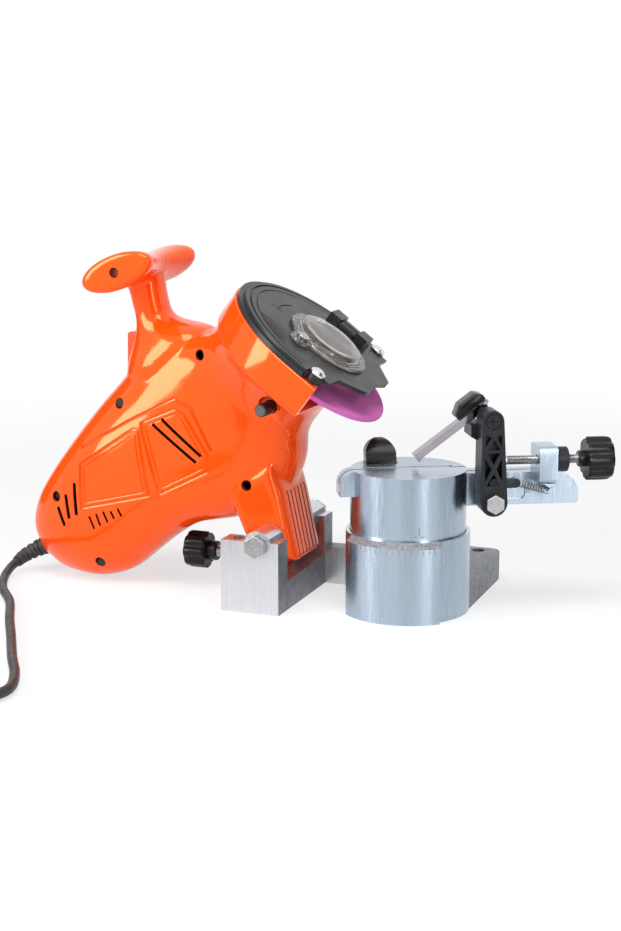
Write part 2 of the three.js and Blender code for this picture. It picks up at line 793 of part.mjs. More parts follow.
// Vise turntable: swivel drum with the chain rail across it and the arm for the stop adjuster
function makeTurntable() {
  const armShape = new THREE.Shape();
  armShape.moveTo(0, armBottom);
  armShape.lineTo(armEnd - armNoseCorner, armBottom);
  armShape.absarc(armEnd - armNoseCorner, armBottom + armNoseCorner, armNoseCorner, -Math.PI / 2, 0);
  armShape.lineTo(armEnd, armTop - armNoseRadius);
  armShape.absarc(armEnd - armNoseRadius, armTop - armNoseRadius, armNoseRadius, 0, Math.PI / 2);
  armShape.lineTo(0, armTop);
  const noseShape = new THREE.Shape();
  noseShape.moveTo(0, noseBottom);
  noseShape.lineTo(noseEnd, noseBottom);
  noseShape.lineTo(noseEnd, turntableTop - noseRadius);
  noseShape.absarc(noseEnd + noseRadius, turntableTop - noseRadius, noseRadius, Math.PI, Math.PI / 2, true);
  noseShape.lineTo(0, turntableTop);
  const lugShape = new THREE.Shape();
  lugShape.moveTo(lugBack, lugBottom);
  lugShape.lineTo(lugBack, lugTop - lugCorner);
  lugShape.absarc(lugBack - lugCorner, lugTop - lugCorner, lugCorner, 0, Math.PI / 2);
  lugShape.lineTo(lugFront + lugCorner, lugTop);
  lugShape.absarc(lugFront + lugCorner, lugTop - lugCorner, lugCorner, Math.PI / 2, Math.PI);
  lugShape.lineTo(lugFront, lugBottom + lugCorner);
  lugShape.lineTo(lugFront + lugCorner, lugBottom);
  const lug = plate(lugShape, lugLeft, lugLeft + lugWidth,
    lugCurve).rotateX(Math.PI / 2).rotateZ(Math.PI / 2);
  const post = alongY(rod(springPostRadius, springY - springPostTail, -railHalf + overrun, smallSides))
    .translate(springPostX, 0, springPostZ);
  const postHead = alongY(rod(springPostRadius + springPostLip, springY - springPostTail,
    springY - springPostNeck, smallSides))
    .translate(springPostX, 0, springPostZ);
  const stopBolt = alongY(rod(stopBoltRadius, stopFront - stopHeadHeight - seatGap, -railHalf + overrun,
    smallSides))
    .translate(stopPivotX, 0, stopPivotZ);
  const stopHead = alongY(hexRod(stopHeadAcross, stopFront - stopHeadHeight - seatGap, stopFront - seatGap))
    .translate(stopPivotX, 0, stopPivotZ);
  const drum = cut(
    rod(turntableRadius, cupFloorTop + slideGap, turntableTop, roundSides * 2),
    cut(rod(turntableRadius - turntableWall, 0, turntableHollowTop),
      rod(turntableBossRadius, 0, turntableHollowTop + overrun)),
  );
  const whole = join(
    drum, sidePlate(armShape, -railHalf, railHalf), sidePlate(noseShape, -railHalf, railHalf),
    lug, post, postHead,
  );
  const halfSlot = slotWidth / 2;
  const slot = block([noseEnd - overrun, -halfSlot, slotFloor], [armEnd + overrun, halfSlot, lugTop]);
  const jawPocket = block(
    [-jawHalfLength - slideGap, -halfSlot, jawBottom - slideGap],
    [jawHalfLength + slideGap, halfSlot + jawThickness + slideGap, turntableTop + overrun],
  );
  const rodHole = alongY(rod(jawRodRadius + slideGap, 0, camPivotY, smallSides)).translate(jawRodX, 0,
    camPivotZ);
  const camPocket = block(
    [camLeft - slideGap, camPocketFront, camPocketFloor],
    [camLeft + camWidth + slideGap, turntableRadius + overrun, turntableTop + overrun],
  );
  const pinHole = alongX(rod(camPinRadius + seatGap, camPinLeft - overrun, camPinRight + seatGap,
    smallSides))
    .translate(0, camPivotY, camPivotZ);
  const screwHole = alongX(rod(adjustScrewRadius + slideGap, lugLeft - overrun,
    lugLeft + lugWidth + overrun, smallSides))
    .translate(0, adjustY, adjustZ);
  const panel = sidePlate(roundedBox(panelLeft, panelBottom, panelRight, panelTop, lugCorner),
    -railHalf - overrun, -railHalf + panelDepth, smallCurve);
  const boltBore = rod(viseBoltRadius + seatGap, 0, viseBoltTop + seatGap, smallSides);
  const stopBore = alongY(rod(stopBoltRadius + seatGap, stopFront, -railHalf + stopThread, smallSides))
    .translate(stopPivotX, 0, stopPivotZ);
  const body = cut(whole, slot, jawPocket, rodHole, camPocket, pinHole, screwHole, panel, boltBore,
    stopBore);
  const bolt = join(
    alongY(rod(stopBoltRadius, stopFront - overrun, -railHalf + stopThread - seatGap, smallSides))
      .translate(stopPivotX, 0, stopPivotZ),
    alongY(hexRod(stopHeadAcross, stopFront - stopHeadHeight - seatGap, stopFront - seatGap))
      .translate(stopPivotX, 0, stopPivotZ),
  );
  return [body, bolt];
}
const [turntableBody, stopBoltBody] = makeTurntable();
piece(vise, "turntable", turntableBody, castAluminium);
piece(vise, "stop_bolt", stopBoltBody, zincSteel);

// Clamp bolt of the swivel, under the cup
const viseNutTop = cupFloorUnder - seatGap;
piece(vise, "turntable_bolt", rod(viseBoltRadius, seatGap, viseBoltTop, smallSides), zincSteel);
piece(vise, "turntable_nut", cut(
  join(
    hexRod(viseNutAcross, viseNutTop - viseNutHeight, viseNutTop),
    rod(viseWasherRadius, viseNutTop - washerThickness, viseNutTop, roundSides),
  ),
  rod(viseBoltRadius + seatGap, 0, cupFloorUnder, smallSides),
), zincSteel);

// Jaw and its cam lever
const camOffsetY = camTravel / 2;
const camOffsetZ = camTravel * camRiseShare;
const jawFront = slotWidth / 2;
const stemEnd = camPivotY - camRadius + camOffsetY - seatGap;
piece(vise, "jaw_plate", join(
  block([-jawHalfLength, jawFront, jawBottom],
    [jawHalfLength, jawFront + jawThickness, jawBottom + jawHeight]),
  alongY(rod(jawRodRadius, jawFront + jawThickness / 2, stemEnd, smallSides)).translate(jawRodX, 0,
    camPivotZ),
), zincSteel);
function makeClampLever() {
  const cam = alongX(rod(camRadius, camLeft, camLeft + camWidth))
    .translate(0, camPivotY + camOffsetY, camPivotZ + camOffsetZ);
  const gripShape = new THREE.Shape();
  gripShape.moveTo(camPivotY, camPivotZ + camRadius / 2);
  gripShape.lineTo(camPivotY + camRadius, camPivotZ + camRadius / 2);
  gripShape.quadraticCurveTo(
    camPivotY + camGripReach, camGripTop - camGripThickness, camPivotY + camGripReach - seatGap,
      camGripTop);
  gripShape.quadraticCurveTo(camPivotY, camGripTop - camGripThickness / 2, camPivotY - camRadius / 2,
    camPivotZ + camRadius);
  const grip = plate(gripShape, camLeft, camLeft + camWidth,
    lugCurve).rotateX(Math.PI / 2).rotateZ(Math.PI / 2);
  return cut(join(cam, grip),
    alongX(rod(camPinRadius + seatGap, camLeft - overrun, camPinRight + overrun, smallSides))
      .translate(0, camPivotY, camPivotZ));
}
piece(vise, "clamp_lever", makeClampLever(), blackPlastic);
piece(vise, "clamp_pin",
  alongX(rod(camPinRadius, camPinLeft, camPinRight, smallSides)).translate(0, camPivotY, camPivotZ),
    zincSteel);

// Stop adjuster: screw in the arm's lug, lock ring and star knob
const onAdjuster = (geometry) => alongX(geometry).translate(0, adjustY, adjustZ);
const ringFace = lugLeft + lugWidth + seatGap;
piece(vise, "adjuster_screw", onAdjuster(turned([
  [0, adjustTip], [adjustScrewRadius - screwChamfer, adjustTip],
  [adjustScrewRadius, adjustTip + screwChamfer],
  [adjustScrewRadius, adjustKnobFace + adjustKnobGrip], [0, adjustKnobFace + adjustKnobGrip],
], smallSides)), zincSteel);
piece(vise, "adjuster_lock_ring", cut(
  onAdjuster(rod(lockRingRadius, ringFace, ringFace + lockRingLength)),
  onAdjuster(rod(adjustScrewRadius + slideGap, 0, ringFace + lockRingLength + overrun, smallSides)),
), blackPlastic);
piece(vise, "adjuster_knob", cut(
  join(
    onAdjuster(plate(lobedOutline(adjustKnobRadius, knobLobes, knobLobeShare),
      adjustKnobFace, adjustKnobFace + adjustKnobLength, 1, knobBevel)),
    onAdjuster(rod(adjustHubRadius, adjustKnobFace - adjustHubLength, adjustKnobFace + overrun)),
  ),
  onAdjuster(rod(adjustScrewRadius + seatGap, 0, adjustKnobFace + adjustKnobGrip + seatGap, smallSides)),
), blackPlastic);

// Stop lever: truss arm that carries the pawl
const stopBack = -railHalf - slideGap;
function hull2(x1, z1, r1, x2, z2, r2, near, far, sides) {
  const distance = Math.hypot(x2 - x1, z2 - z1);
  const lean = Math.atan2(z2 - z1, x2 - x1);
  const spread = Math.acos((r1 - r2) / distance);
  const points = [];
  for (let i = 0; i <= sides; i++) {
    const angle = lean + spread + ((Math.PI * 2 - spread * 2) * i) / sides;
    points.push([x1 + r1 * Math.cos(angle), z1 + r1 * Math.sin(angle)]);
  }
  for (let i = 0; i <= sides; i++) {
    const angle = lean - spread + (spread * 2 * i) / sides;
    points.push([x2 + r2 * Math.cos(angle), z2 + r2 * Math.sin(angle)]);
  }
  return sidePlate(points, near, far, 1);
}
function makeStopLever() {
  const bar = hull2(stopPivotX, stopPivotZ, stopBossRadius, stopTopX, stopTopZ, stopTopRadius, stopFront,
    stopBack, smallSides);
  const horn = sidePlate(stopHornOutline, stopBack - overrun, stopHeadBack, 1);
  const hookLug = hull2(stopPivotX, springHookZ, springPostLip + springPostRadius, springHookX, springHookZ,
    springPostRadius + springPostLip, springY - springPostNeck - springLugThickness,
      springY - springPostNeck - seatGap, lugCurve);
  const hookPost = alongY(rod(hookPostRadius, springY - springPostNeck - overrun,
    springY + springPostTail, smallSides))
    .translate(springHookX, 0, springHookZ);
  const pockets = stopPockets.flatMap((outline) => [
    sidePlate(outline, stopFront - overrun, (stopFront + stopBack - stopWeb) / 2, 1),
    sidePlate(outline, (stopFront + stopBack + stopWeb) / 2, stopBack + overrun, 1),
  ]);
  const pivotHole = alongY(rod(stopBoltRadius + seatGap, stopFront - overrun, 0, smallSides))
    .translate(stopPivotX, 0, stopPivotZ);
  const pinHole = alongY(rod(pawlPinRadius + seatGap, pawlPinFront - seatGap, 0, smallSides))
    .translate(pawlPivotX, 0, pawlPivotZ);
  const body = cut(bar, ...pockets);
  return cut(join(body, horn, hookLug, hookPost), pivotHole, pinHole);
}
piece(vise, "stop_lever", makeStopLever(), blackPlastic);

// Pawl: folded strip that holds a cutter of the chain, with a thumb grip and a pin
function alongStrip(run, lift) {
  const slope = Math.atan2(pawlTopZ - pawlTipZ, pawlTopX - pawlTipX);
  return [
    pawlTipX + run * Math.cos(slope) - lift * Math.sin(slope),
    pawlTipZ + run * Math.sin(slope) + lift * Math.cos(slope),
  ];
}
const stripLength = Math.hypot(pawlTopX - pawlTipX, pawlTopZ - pawlTipZ);
function makePawl() {
  const half = pawlStripWidth / 2;
  const top = pawlStripThickness / 2;
  const strip = sidePlate(
    [alongStrip(0, -top), alongStrip(stripLength, -top), alongStrip(stripLength, top), alongStrip(0, top)],
    -half, half, 1);
  const flange = sidePlate(
    [alongStrip(0, 0), alongStrip(0, -pawlTipDepth), alongStrip(pawlTipDepth, -pawlFlange),
      alongStrip(stripLength - pawlFlange, -pawlFlange), alongStrip(stripLength, 0)],
    -half, -half + pawlStripThickness, 1);
  const finger = sidePlate(
    [alongStrip(0, 0), alongStrip(0, -pawlTipDepth), alongStrip(pawlStripThickness, -pawlTipDepth),
      alongStrip(pawlStripThickness, 0)],
    -half, half, 1);
  const hub = alongY(rod(pawlHubRadius, -half, half)).translate(pawlPivotX, 0, pawlPivotZ);
  const hole = alongY(rod(pawlPinRadius + seatGap, -half - overrun, half + overrun, smallSides))
    .translate(pawlPivotX, 0, pawlPivotZ);
  return cut(join(strip, flange, finger, hub), hole);
}
piece(vise, "stop_pawl", makePawl(), brightSteel);
piece(vise, "pawl_pin",
  alongY(rod(pawlPinRadius, pawlPinFront, pawlStripWidth / 2, smallSides)).translate(pawlPivotX, 0,
    pawlPivotZ),
  zincSteel);
function makePawlGrip() {
  const base = pawlStripThickness / 2 + slideGap + slideGap;
  const outline = [
    alongStrip(pawlGripStart, base), alongStrip(pawlGripEnd, base),
    alongStrip(pawlGripEnd, base + pawlGripHeight / 2),
      alongStrip(pawlGripEnd - pawlGripHeight / 2, base + pawlGripHeight),
    alongStrip(pawlGripStart + pawlGripHeight, base + pawlGripHeight),
      alongStrip(pawlGripStart, base + pawlGripHeight * pawlGripShare),
  ];
  return sidePlate(outline, -pawlStripWidth / 2 + pawlStripThickness, pawlGripBack, 1,
    { bevelEnabled: true, bevelThickness: pawlGripRound, bevelSize: pawlGripRound,
      bevelOffset: -pawlGripRound, bevelSegments: 2 });
}
piece(vise, "pawl_grip", makePawlGrip(), blackPlastic);

// Return spring between the stop lever and the arm
function makeSpring() {
  const start = new THREE.Vector3(springHookX, springY, springHookZ);
  const end = new THREE.Vector3(springPostX, springY, springPostZ);
  const axis = end.clone().sub(start);
  const span = axis.length();
  axis.normalize();
  const side = new THREE.Vector3(0, 1, 0);
  const lift = new THREE.Vector3().crossVectors(side, axis);
  const at = (run, acrossY, acrossUp) =>
    start.clone().addScaledVector(axis, run).addScaledVector(side, acrossY).addScaledVector(lift, acrossUp);
  const points = [];
  const first = hookLoop + springSlack + springLead;
  const last = span - hookLoop - springLead;
  const steps = springTurns * springStepsPerTurn;
  for (let i = 0; i <= loopSteps; i++) {
    const angle = hookLoopStart - (loopSweep * i) / loopSteps;
    const reach = Math.cos(angle) * hookLoop;
    points.push(at(reach + (reach > 0 ? springSlack : -springSlack), 0, Math.sin(angle) * hookLoop));
  }
  for (let i = 0; i <= steps; i++) {
    const angle = Math.PI / 2 + (i / springStepsPerTurn) * fullTurn;
    const run = first + ((last - first) * i) / steps;
    points.push(at(run, Math.cos(angle) * springRadius, Math.sin(angle) * springRadius));
  }
  for (let i = 0; i <= loopSteps; i++) {
    const angle = postLoopStart - (loopSweep * i) / loopSteps;
    points.push(at(span + Math.cos(angle) * postLoop, 0, Math.sin(angle) * postLoop));
  }
  return tubeThrough(points, springWire / 2, coilSides, points.length);
}

// Round wire or cord through points, with no caps missing
function tubeThrough(points, radius, sides, steps, straight = false) {
  const path = straight ? new THREE.CurvePath() : new THREE.CatmullRomCurve3(points, false, "centripetal");
  if (straight) {
    for (let i = 0; i + 1 < points.length; i++) path.add(new THREE.LineCurve3(points[i], points[i + 1]));
  }
  const round = [];
  for (let i = 0; i < sides; i++) {
    const angle = ((i + 0.5) / sides) * Math.PI * 2;
    round.push([radius * Math.cos(angle), radius * Math.sin(angle)]);
  }
  return new THREE.ExtrudeGeometry(outlineOf(round), { steps, extrudePath: path });
}
piece(vise, "tension_spring", makeSpring(), zincSteel);

// Grinding wheel with its flanges and nut
piece(head, "inner_flange", turned([
  [spindleRadius + seatGap, innerFlangeTop - wheelFlangeThickness],
  [innerFlangeRadius - wheelFlangeThickness, innerFlangeTop - wheelFlangeThickness],
  [innerFlangeRadius, innerFlangeTop - wheelFlangeThickness / 2], [innerFlangeRadius, innerFlangeTop],
  [spindleRadius + seatGap, innerFlangeTop],
  [spindleRadius + seatGap, innerFlangeTop - wheelFlangeThickness],
], roundSides), zincSteel);
piece(head, "grinding_wheel", turned([
  [wheelBore, -wheelHalf], [wheelRadius - wheelHalf / 2, -wheelHalf], [wheelRadius, -wheelHalf / 2],
  [wheelRadius, wheelHalf / 2], [wheelRadius - wheelHalf / 2, wheelHalf], [wheelBore, wheelHalf],
  [wheelBore, -wheelHalf],
], wheelSides), pinkAbrasive);
piece(head, "outer_flange", turned([
  [spindleThread + seatGap, outerFlangeBottom], [outerFlangeRadius, outerFlangeBottom],
  [outerFlangeRadius, outerFlangeBottom + wheelFlangeThickness / 2],
  [outerFlangeRadius - wheelFlangeThickness, outerFlangeBottom + wheelFlangeThickness],
  [spindleThread + seatGap, outerFlangeBottom + wheelFlangeThickness],
  [spindleThread + seatGap, outerFlangeBottom],
], roundSides), zincSteel);
const nutBottom = outerFlangeBottom + wheelFlangeThickness + seatGap;
piece(head, "wheel_nut", cut(hexRod(wheelNutAcross, nutBottom, nutBottom + wheelNutHeight),
  rod(spindleThread + seatGap, 0, nutBottom + wheelNutHeight + overrun, smallSides)), zincSteel);

// Spindle, its bearings and the motor
piece(head, "spindle", cut(
  turned([
    [0, spindleEnd], [rearBearingBore, spindleEnd], [rearBearingBore, spindleShoulder],
    [spindleRadius, spindleShoulder],
    [spindleRadius, innerFlangeTop + seatGap], [spindleThread, innerFlangeTop + seatGap],
    [spindleThread, nutBottom + wheelNutHeight], [0, nutBottom + wheelNutHeight],
  ], smallSides),
  alongY(rod(lockHoleRadius, -spindleRadius - overrun, spindleRadius + overrun, smallSides)).translate(0,
    0, -lockPinDepth),
  alongX(rod(lockHoleRadius, -spindleRadius - overrun, spindleRadius + overrun, smallSides)).translate(0,
    0, -lockPinDepth),
), brightSteel);
piece(head, "front_bearing",
  tube(frontBearingRadius, spindleRadius + seatGap, frontBearingTop - frontBearingWidth, frontBearingTop),
    brightSteel);
piece(head, "rear_bearing",
  tube(rearBearingRadius, rearBearingBore + seatGap, rearBearingTop - rearBearingWidth, rearBearingTop),
    brightSteel);
function makeFan() {
  const plateDisc = rod(fanRadius, fanTop - fanPlate, fanTop);
  const hub = rod(fanHubRadius, fanTop - fanHeight, fanTop, smallSides);
  const blades = [];
  for (let i = 0; i < fanBlades; i++) {
    blades.push(block([fanHubRadius - fanPlate, -fanPlate / 2, fanTop - fanHeight],
      [fanRadius - fanPlate, fanPlate / 2, fanTop - fanPlate / 2])
      .rotateZ((i / fanBlades) * Math.PI * 2 + fanPhase));
  }
  return cut(join(plateDisc, hub, ...blades),
    rod(spindleRadius + seatGap, fanTop - fanHeight - overrun, fanTop + overrun, smallSides));
}
piece(head, "cooling_fan", makeFan(), blackPlastic);
function makeCore() {
  const slots = [];
  for (let i = 0; i < coreSlots; i++) {
    slots.push(block([coreRadius - coreSlotDepth, -coreSlotWidth / 2, coreTop - coreLength - overrun],
      [coreRadius + overrun, coreSlotWidth / 2, coreTop + overrun])
      .rotateZ(((i + 0.5) / coreSlots) * Math.PI * 2));
  }
  const bore = rod(spindleRadius + seatGap, coreTop - coreLength - windingLength - overrun,
    coreTop + windingLength + overrun, smallSides);
  return cut(rod(coreRadius, coreTop - coreLength, coreTop, roundSides), bore, ...slots);
}
piece(head, "armature_core", makeCore(), coreSteel);
function makeWinding() {
  const ends = [
    tube(windingRadius, spindleRadius + seatGap, coreTop + seatGap, coreTop + windingLength, smallSides),
    tube(windingRadius, spindleRadius + seatGap, coreTop - coreLength - windingLength,
      coreTop - coreLength - seatGap, smallSides),
  ];
  const bars = [];
  for (let i = 0; i < coreSlots; i++) {
    bars.push(block(
      [coreRadius - coreSlotDepth + seatGap, -coreSlotWidth / 2 + seatGap,
      coreTop - coreLength - windingLength],
      [coreRadius - seatGap, coreSlotWidth / 2 - seatGap, coreTop + windingLength],
    ).rotateZ(((i + 0.5) / coreSlots) * Math.PI * 2));
  }
  return join(...ends, ...bars);
}
piece(head, "armature_winding", makeWinding(), copperWire);
piece(head, "commutator",
  tube(commutatorRadius, spindleRadius + seatGap, commutatorTop - commutatorLength, commutatorTop),
    brassPart);
piece(head, "stator", tube(statorOuter, statorOuter - statorWall, statorTop - statorLength, statorTop),
  coreSteel);
const brushMiddle = commutatorTop - commutatorLength / 2;
for (const [side, name] of [[-1, "front"], [1, "rear"]]) {
  const holderStart = commutatorRadius + brushClearance + slideGap;
  const half = brushHolderSize / 2;
  const inner = brushSize / 2;
  const span = (low, high) => [Math.min(side * low, side * high), Math.max(side * low, side * high)];
  const [h0, h1] = span(holderStart, holderStart + brushHolderLength);
  const [c0, c1] = span(0, holderStart + brushHolderLength - half / 2);
  const [b0, b1] = span(commutatorRadius + seatGap, commutatorRadius + brushLength);
  piece(head, `brush_holder_${name}`, cut(
    block([-half, h0, brushMiddle - half], [half, h1, brushMiddle + half]),
    block([-inner - seatGap, c0, brushMiddle - inner - seatGap],
      [inner + seatGap, c1, brushMiddle + inner + seatGap]),
  ), brassPart);
  piece(head, `carbon_brush_${name}`,
    block([-inner, b0, brushMiddle - inner], [inner, b1, brushMiddle + inner]), carbonBlock);
}

// Housing form: wheel tray, motor lobe, neck, handle bar and pivot foot
const fromBase = (geometry) => geometry.translate(-wheelX, 0, -wheelZ).rotateY(-headTilt);
const rings = (stations, inset, sides = 24) =>
  stations.map(([left, right, half]) => section(left, right, half, inset, sides));
const lobeRings = lobeStations.map(([n, left, right, half]) => [[left, n], [right, n], half]);

function handleRing(y, share, inset) {
  const along = [Math.cos(handleLean), Math.sin(handleLean)];
  const ring = [];
  for (let i = 0; i < handleSides; i++) {
    const angle = ((i + 0.5) / handleSides) * Math.PI * 2;
    const u = (handleLong * share - inset) * Math.cos(angle);
    const v = (handleShort * share - inset) * Math.sin(angle);
    ring.push(new THREE.Vector3(
      handleX + u * along[0] - v * along[1], y, handleZ + u * along[1] + v * along[0]));
  }
  return ring;
}
function handleBar(inset) {
  const rows = handleRows.map(([share, size]) => [share * (handleHalf - inset), size]);
  return solid(loft(rows.map(([y, size]) => handleRing(y, size, inset))));
}
function trayShape(wall, end) {
  const radius = trayRadius - wall;
  const shape = new THREE.Shape();
  shape.moveTo(end, -radius);
  shape.lineTo(end, radius);
  shape.lineTo(trayCentre, radius);
  shape.absarc(trayCentre, 0, radius, Math.PI / 2, halfTurn + halfTurn / 2);
  return shape;
}
function makeTray() {
  const outer = plate(trayShape(0, trayLegEnd), trayBack + trayBevel, trayFront + trayBevel, trayCurve, {
    bevelEnabled: true, bevelThickness: trayBevel, bevelSize: trayBevel, bevelOffset: -trayBevel,
      bevelSegments: 2,
  });
  const topTrim = block([-trayRadius * 2, -trayRadius * 2, trayFront],
    [trayRadius, trayRadius * 2, trayFront + trayRadius]);
  const hollow = plate(trayShape(trayWall, trayLegEnd + overrun), trayBack + trayWall,
    trayFront + overrun, trayCurve);
  const pillars = [-1, 1].map((side) =>
    rod(guardBossRadius, trayBack + trayWall / 2, trayFront, smallSides).translate(guardBoltX - trayBevel,
      side * guardBoltY, 0));
  return join(cut(outer, topTrim, hollow), ...pillars);
}
function neckForm(inset) {
  return solid(loft(rings(neckStations, inset, inset > 0 ? innerSides : neckSides)));
}
function lobeForm(inset) {
  const list = inset > 0 ? lobeRings.slice(0, -1) : lobeRings;
  const shifted = list.map(([left, right, half], i) => {
    const shift = inset > 0 && i === 0 ? inset : 0;
    return [[left[0], left[1] - shift], [right[0], right[1] - shift], half];
  });
  return solid(loft(rings(shifted, inset, inset > 0 ? innerSides : lobeSides)));
}
const exitPoint = new THREE.Vector3(exitX - wheelX, 0, exitZ - wheelZ)
  .applyAxisAngle(new THREE.Vector3(0, 1, 0), -headTilt);
const exitDirection = new THREE.Vector3(-exitRun, 0, -exitFall).normalize()
  .applyAxisAngle(new THREE.Vector3(0, 1, 0), -headTilt);
function onExit(geometry) {
  const turn = new THREE.Quaternion().setFromUnitVectors(new THREE.Vector3(0, 0, 1), exitDirection);
  return geometry.applyQuaternion(turn).translate(exitPoint.x, exitPoint.y, exitPoint.z);
}
const triggerIn = [Math.cos(triggerTurn), Math.sin(triggerTurn)];
// A block in the trigger's own frame: depth into the grip, length along it, and half width
function triggerBlock(depth0, depth1, length0, length1, y0, y1) {
  return block([depth0, y0, length0], [depth1, y1, length1])
    .rotateY(-triggerTurn).translate(triggerX, 0, triggerZ);
}
function makeHousing() {
  const foot = fromBase(sidePlate(footOutline, -footHalf + footBevelDepth, footHalf - footBevelDepth, 1, {
    bevelEnabled: true, bevelThickness: footBevelDepth, bevelSize: footBevel, bevelOffset: -footBevel,
      bevelSegments: 3,
  }));
  const heel = fromBase(sidePlate(heelOutline, -footHalf + footBevelDepth, footHalf - footBevelDepth, 1));
  const footBlock = join(foot, heel);
  const collar = onExit(rod(sleeveRootRadius + seatGap + shellWall, -sleeveInside - overrun, 0,
    smallSides));
  const outerForm = join(lobeForm(0), neckForm(0), handleBar(0), footBlock, collar);
  const footHollow = fromBase(sidePlate(footHollowOutline, -footHollowHalf, footHollowHalf, 1));
  const pivotBush = fromBase(onPivot(rod(pivotBushRadius, -footHalf - overrun, footHalf + overrun,
    smallSides)));
  const inner = join(lobeForm(shellWall), neckForm(shellWall), handleBar(shellWall),
    cut(footHollow, pivotBush));
  const wide = wheelRadius;
  const farReach = wheelRadius * reachShare;
  const bearingSeat = (top, width, radius, bore) => cut(
    block([ribLeft, -wide, top - width - bearingFloor], [ribRight, wide, top + bearingFloor]),
    rod(radius + seatGap, top - width - seatGap, top + bearingFloor + overrun, roundSides),
    rod(bore, top - width - bearingFloor - overrun, top, smallSides),
  );
  const ring = (top, radius) => cut(block([ribLeft, -wide, top - shellRib], [ribRight, wide, top]),
    rod(radius, top - shellRib - overrun, top + overrun, roundSides));
  const brushRib = cut(
    block([ribLeft, -wide, brushMiddle - brushHolderSize / 2 - shellRib],
      [ribRight, wide, brushMiddle + brushHolderSize / 2 + shellRib]),
    rod(commutatorRadius + brushClearance, brushMiddle - wide, brushMiddle + wide, smallSides),
    block([-brushHolderSize / 2 - seatGap, -brushPocket, brushMiddle - brushHolderSize / 2 - seatGap],
      [brushHolderSize / 2 + seatGap, brushPocket, brushMiddle + brushHolderSize / 2 + seatGap]),
  );
  const switchPosts = [-1, 1].map((side) => triggerBlock(
    switchStart + seatGap, switchStart + switchDepth, -triggerStem, triggerStem,
    Math.min(side * switchPost, side * wide), Math.max(side * switchPost, side * wide)));
  const lockPad = alongY(rod(lockScoopRadius + shellWall, lockButtonIn - shellWall - seatGap,
    lockButtonIn + shellRib, smallSides))
    .translate(0, 0, -lockPinDepth);
  const lockGuide = alongY(rod(lockButtonRadius + slideGap + shellWall, lockButtonIn - seatGap,
    lockGuideEnd, smallSides))
    .translate(0, 0, -lockPinDepth);
  const screwPosts = housingScrews.map(([x, z]) =>
    alongY(rod(screwHoleRadius + shellWall, -wide, wide, smallSides)).translate(x, 0, z));
  const stops = cut(join(
    bearingSeat(frontBearingTop, frontBearingWidth, frontBearingRadius, spindleRadius + bearingRim),
    bearingSeat(rearBearingTop, rearBearingWidth, rearBearingRadius, spindleRadius),
    ring(statorTop - shellRib, statorOuter + seatGap),
      ring(statorTop - statorLength + shellRib * 2, statorOuter + seatGap),
    brushRib, lockPad, lockGuide, ...switchPosts, ...screwPosts,
  ), rod(spindleRadius + bearingRim, -farReach, 0, smallSides),
    rod(statorOuter + seatGap, statorTop - statorLength - seatGap, statorTop + seatGap, roundSides),
    rod(fanRadius + overrun, fanTop - fanHeight - overrun, fanTop + overrun, roundSides));
  const hollow = cut(inner, common(stops, outerForm));
  const scoop = alongY(rod(lockScoopRadius, -wide, lockButtonIn, smallSides)).translate(0, 0,
    -lockPinDepth);
  const scoopSide = block([0, -wide, -lockPinDepth - lockScoopRadius],
    [wide, lockButtonIn, -lockPinDepth + lockScoopRadius]);
  const lockBore = alongY(rod(lockButtonRadius + slideGap, -wide, 0, smallSides)).translate(0, 0,
    -lockPinDepth);
  const lockTipBore = alongY(rod(lockTipRadius + slideGap, -wide, 0, smallSides)).translate(0, 0,
    -lockPinDepth);
  const paddle = triggerBlock(-triggerLength, triggerOpening, -triggerLength / 2 - slideGap,
    triggerLength / 2 + slideGap,
    -triggerWidth / 2 - slideGap, triggerWidth / 2 + slideGap);
  const switchRoom = triggerBlock(0, switchStart + switchDepth + seatGap, -switchLength / 2 - seatGap,
    switchLength / 2 + seatGap,
    -switchWidth / 2 - seatGap, switchWidth / 2 + seatGap);
  const bush = fromBase(onPivot(rod(pivotBoltRadius + slideGap, -footHalf - overrun, footHalf + overrun,
    smallSides)));
  const sleeveBore = onExit(rod(sleeveRootRadius + seatGap, -sleeveInside - seatGap, sleeveLength,
    smallSides));
  const cordWay = onExit(rod(cordRadius + slideGap, -sleeveInside - sleeveLength, 0, smallSides));
  const spindleWay = rod(spindleRadius + bearingRim, -lockPinDepth, 0, smallSides);
  const endRecess = [-1, 1].map((side) =>
    alongY(rod(screwHoleRadius, Math.min(side * (handleHalf - screwRecess), side * (handleHalf + overrun)),
      Math.max(side * (handleHalf - screwRecess), side * (handleHalf + overrun)),
        smallSides)).translate(handleX, 0, handleZ));
  const grooves = footGrooves.map((y) => fromBase(block(
    [grooveLeft, y - footGroove / 2, grooveBottom], [grooveRight, y + footGroove / 2, grooveTop])));
  let form = join(cut(outerForm, scoop, scoopSide), common(join(lockPad, lockGuide), outerForm));
  form = join(form, makeTray());
  const motorVents = ventLines.map(([a, b]) => ventCut(a, b, ventWidth, -1));
  const slotVents = slotVentLines.map(([a, b]) => ventCut(a, b, slotVentWidth, -1));
  const rearVents = [...ventLines, ...slotVentLines].map(([a, b]) => ventCut(a, b, ventWidth, 1));
  const recesses = housingScrews.flatMap(([x, z]) => [
    alongY(rod(screwHoleRadius, -wide, -screwFloor, smallSides)).translate(x, 0, z),
    alongY(rod(screwShank + seatGap, -wide, screwLength, smallSides)).translate(x, 0, z),
  ]);
  form = cut(form, hollow, cut(lockBore, block([-wide, lockGuideStop, -farReach], [wide, wide, wide])),
    lockTipBore, paddle,
    switchRoom, bush, sleeveBore, cordWay, spindleWay, ...endRecess, ...grooves, ...motorVents,
      ...slotVents, ...rearVents, ...recesses);
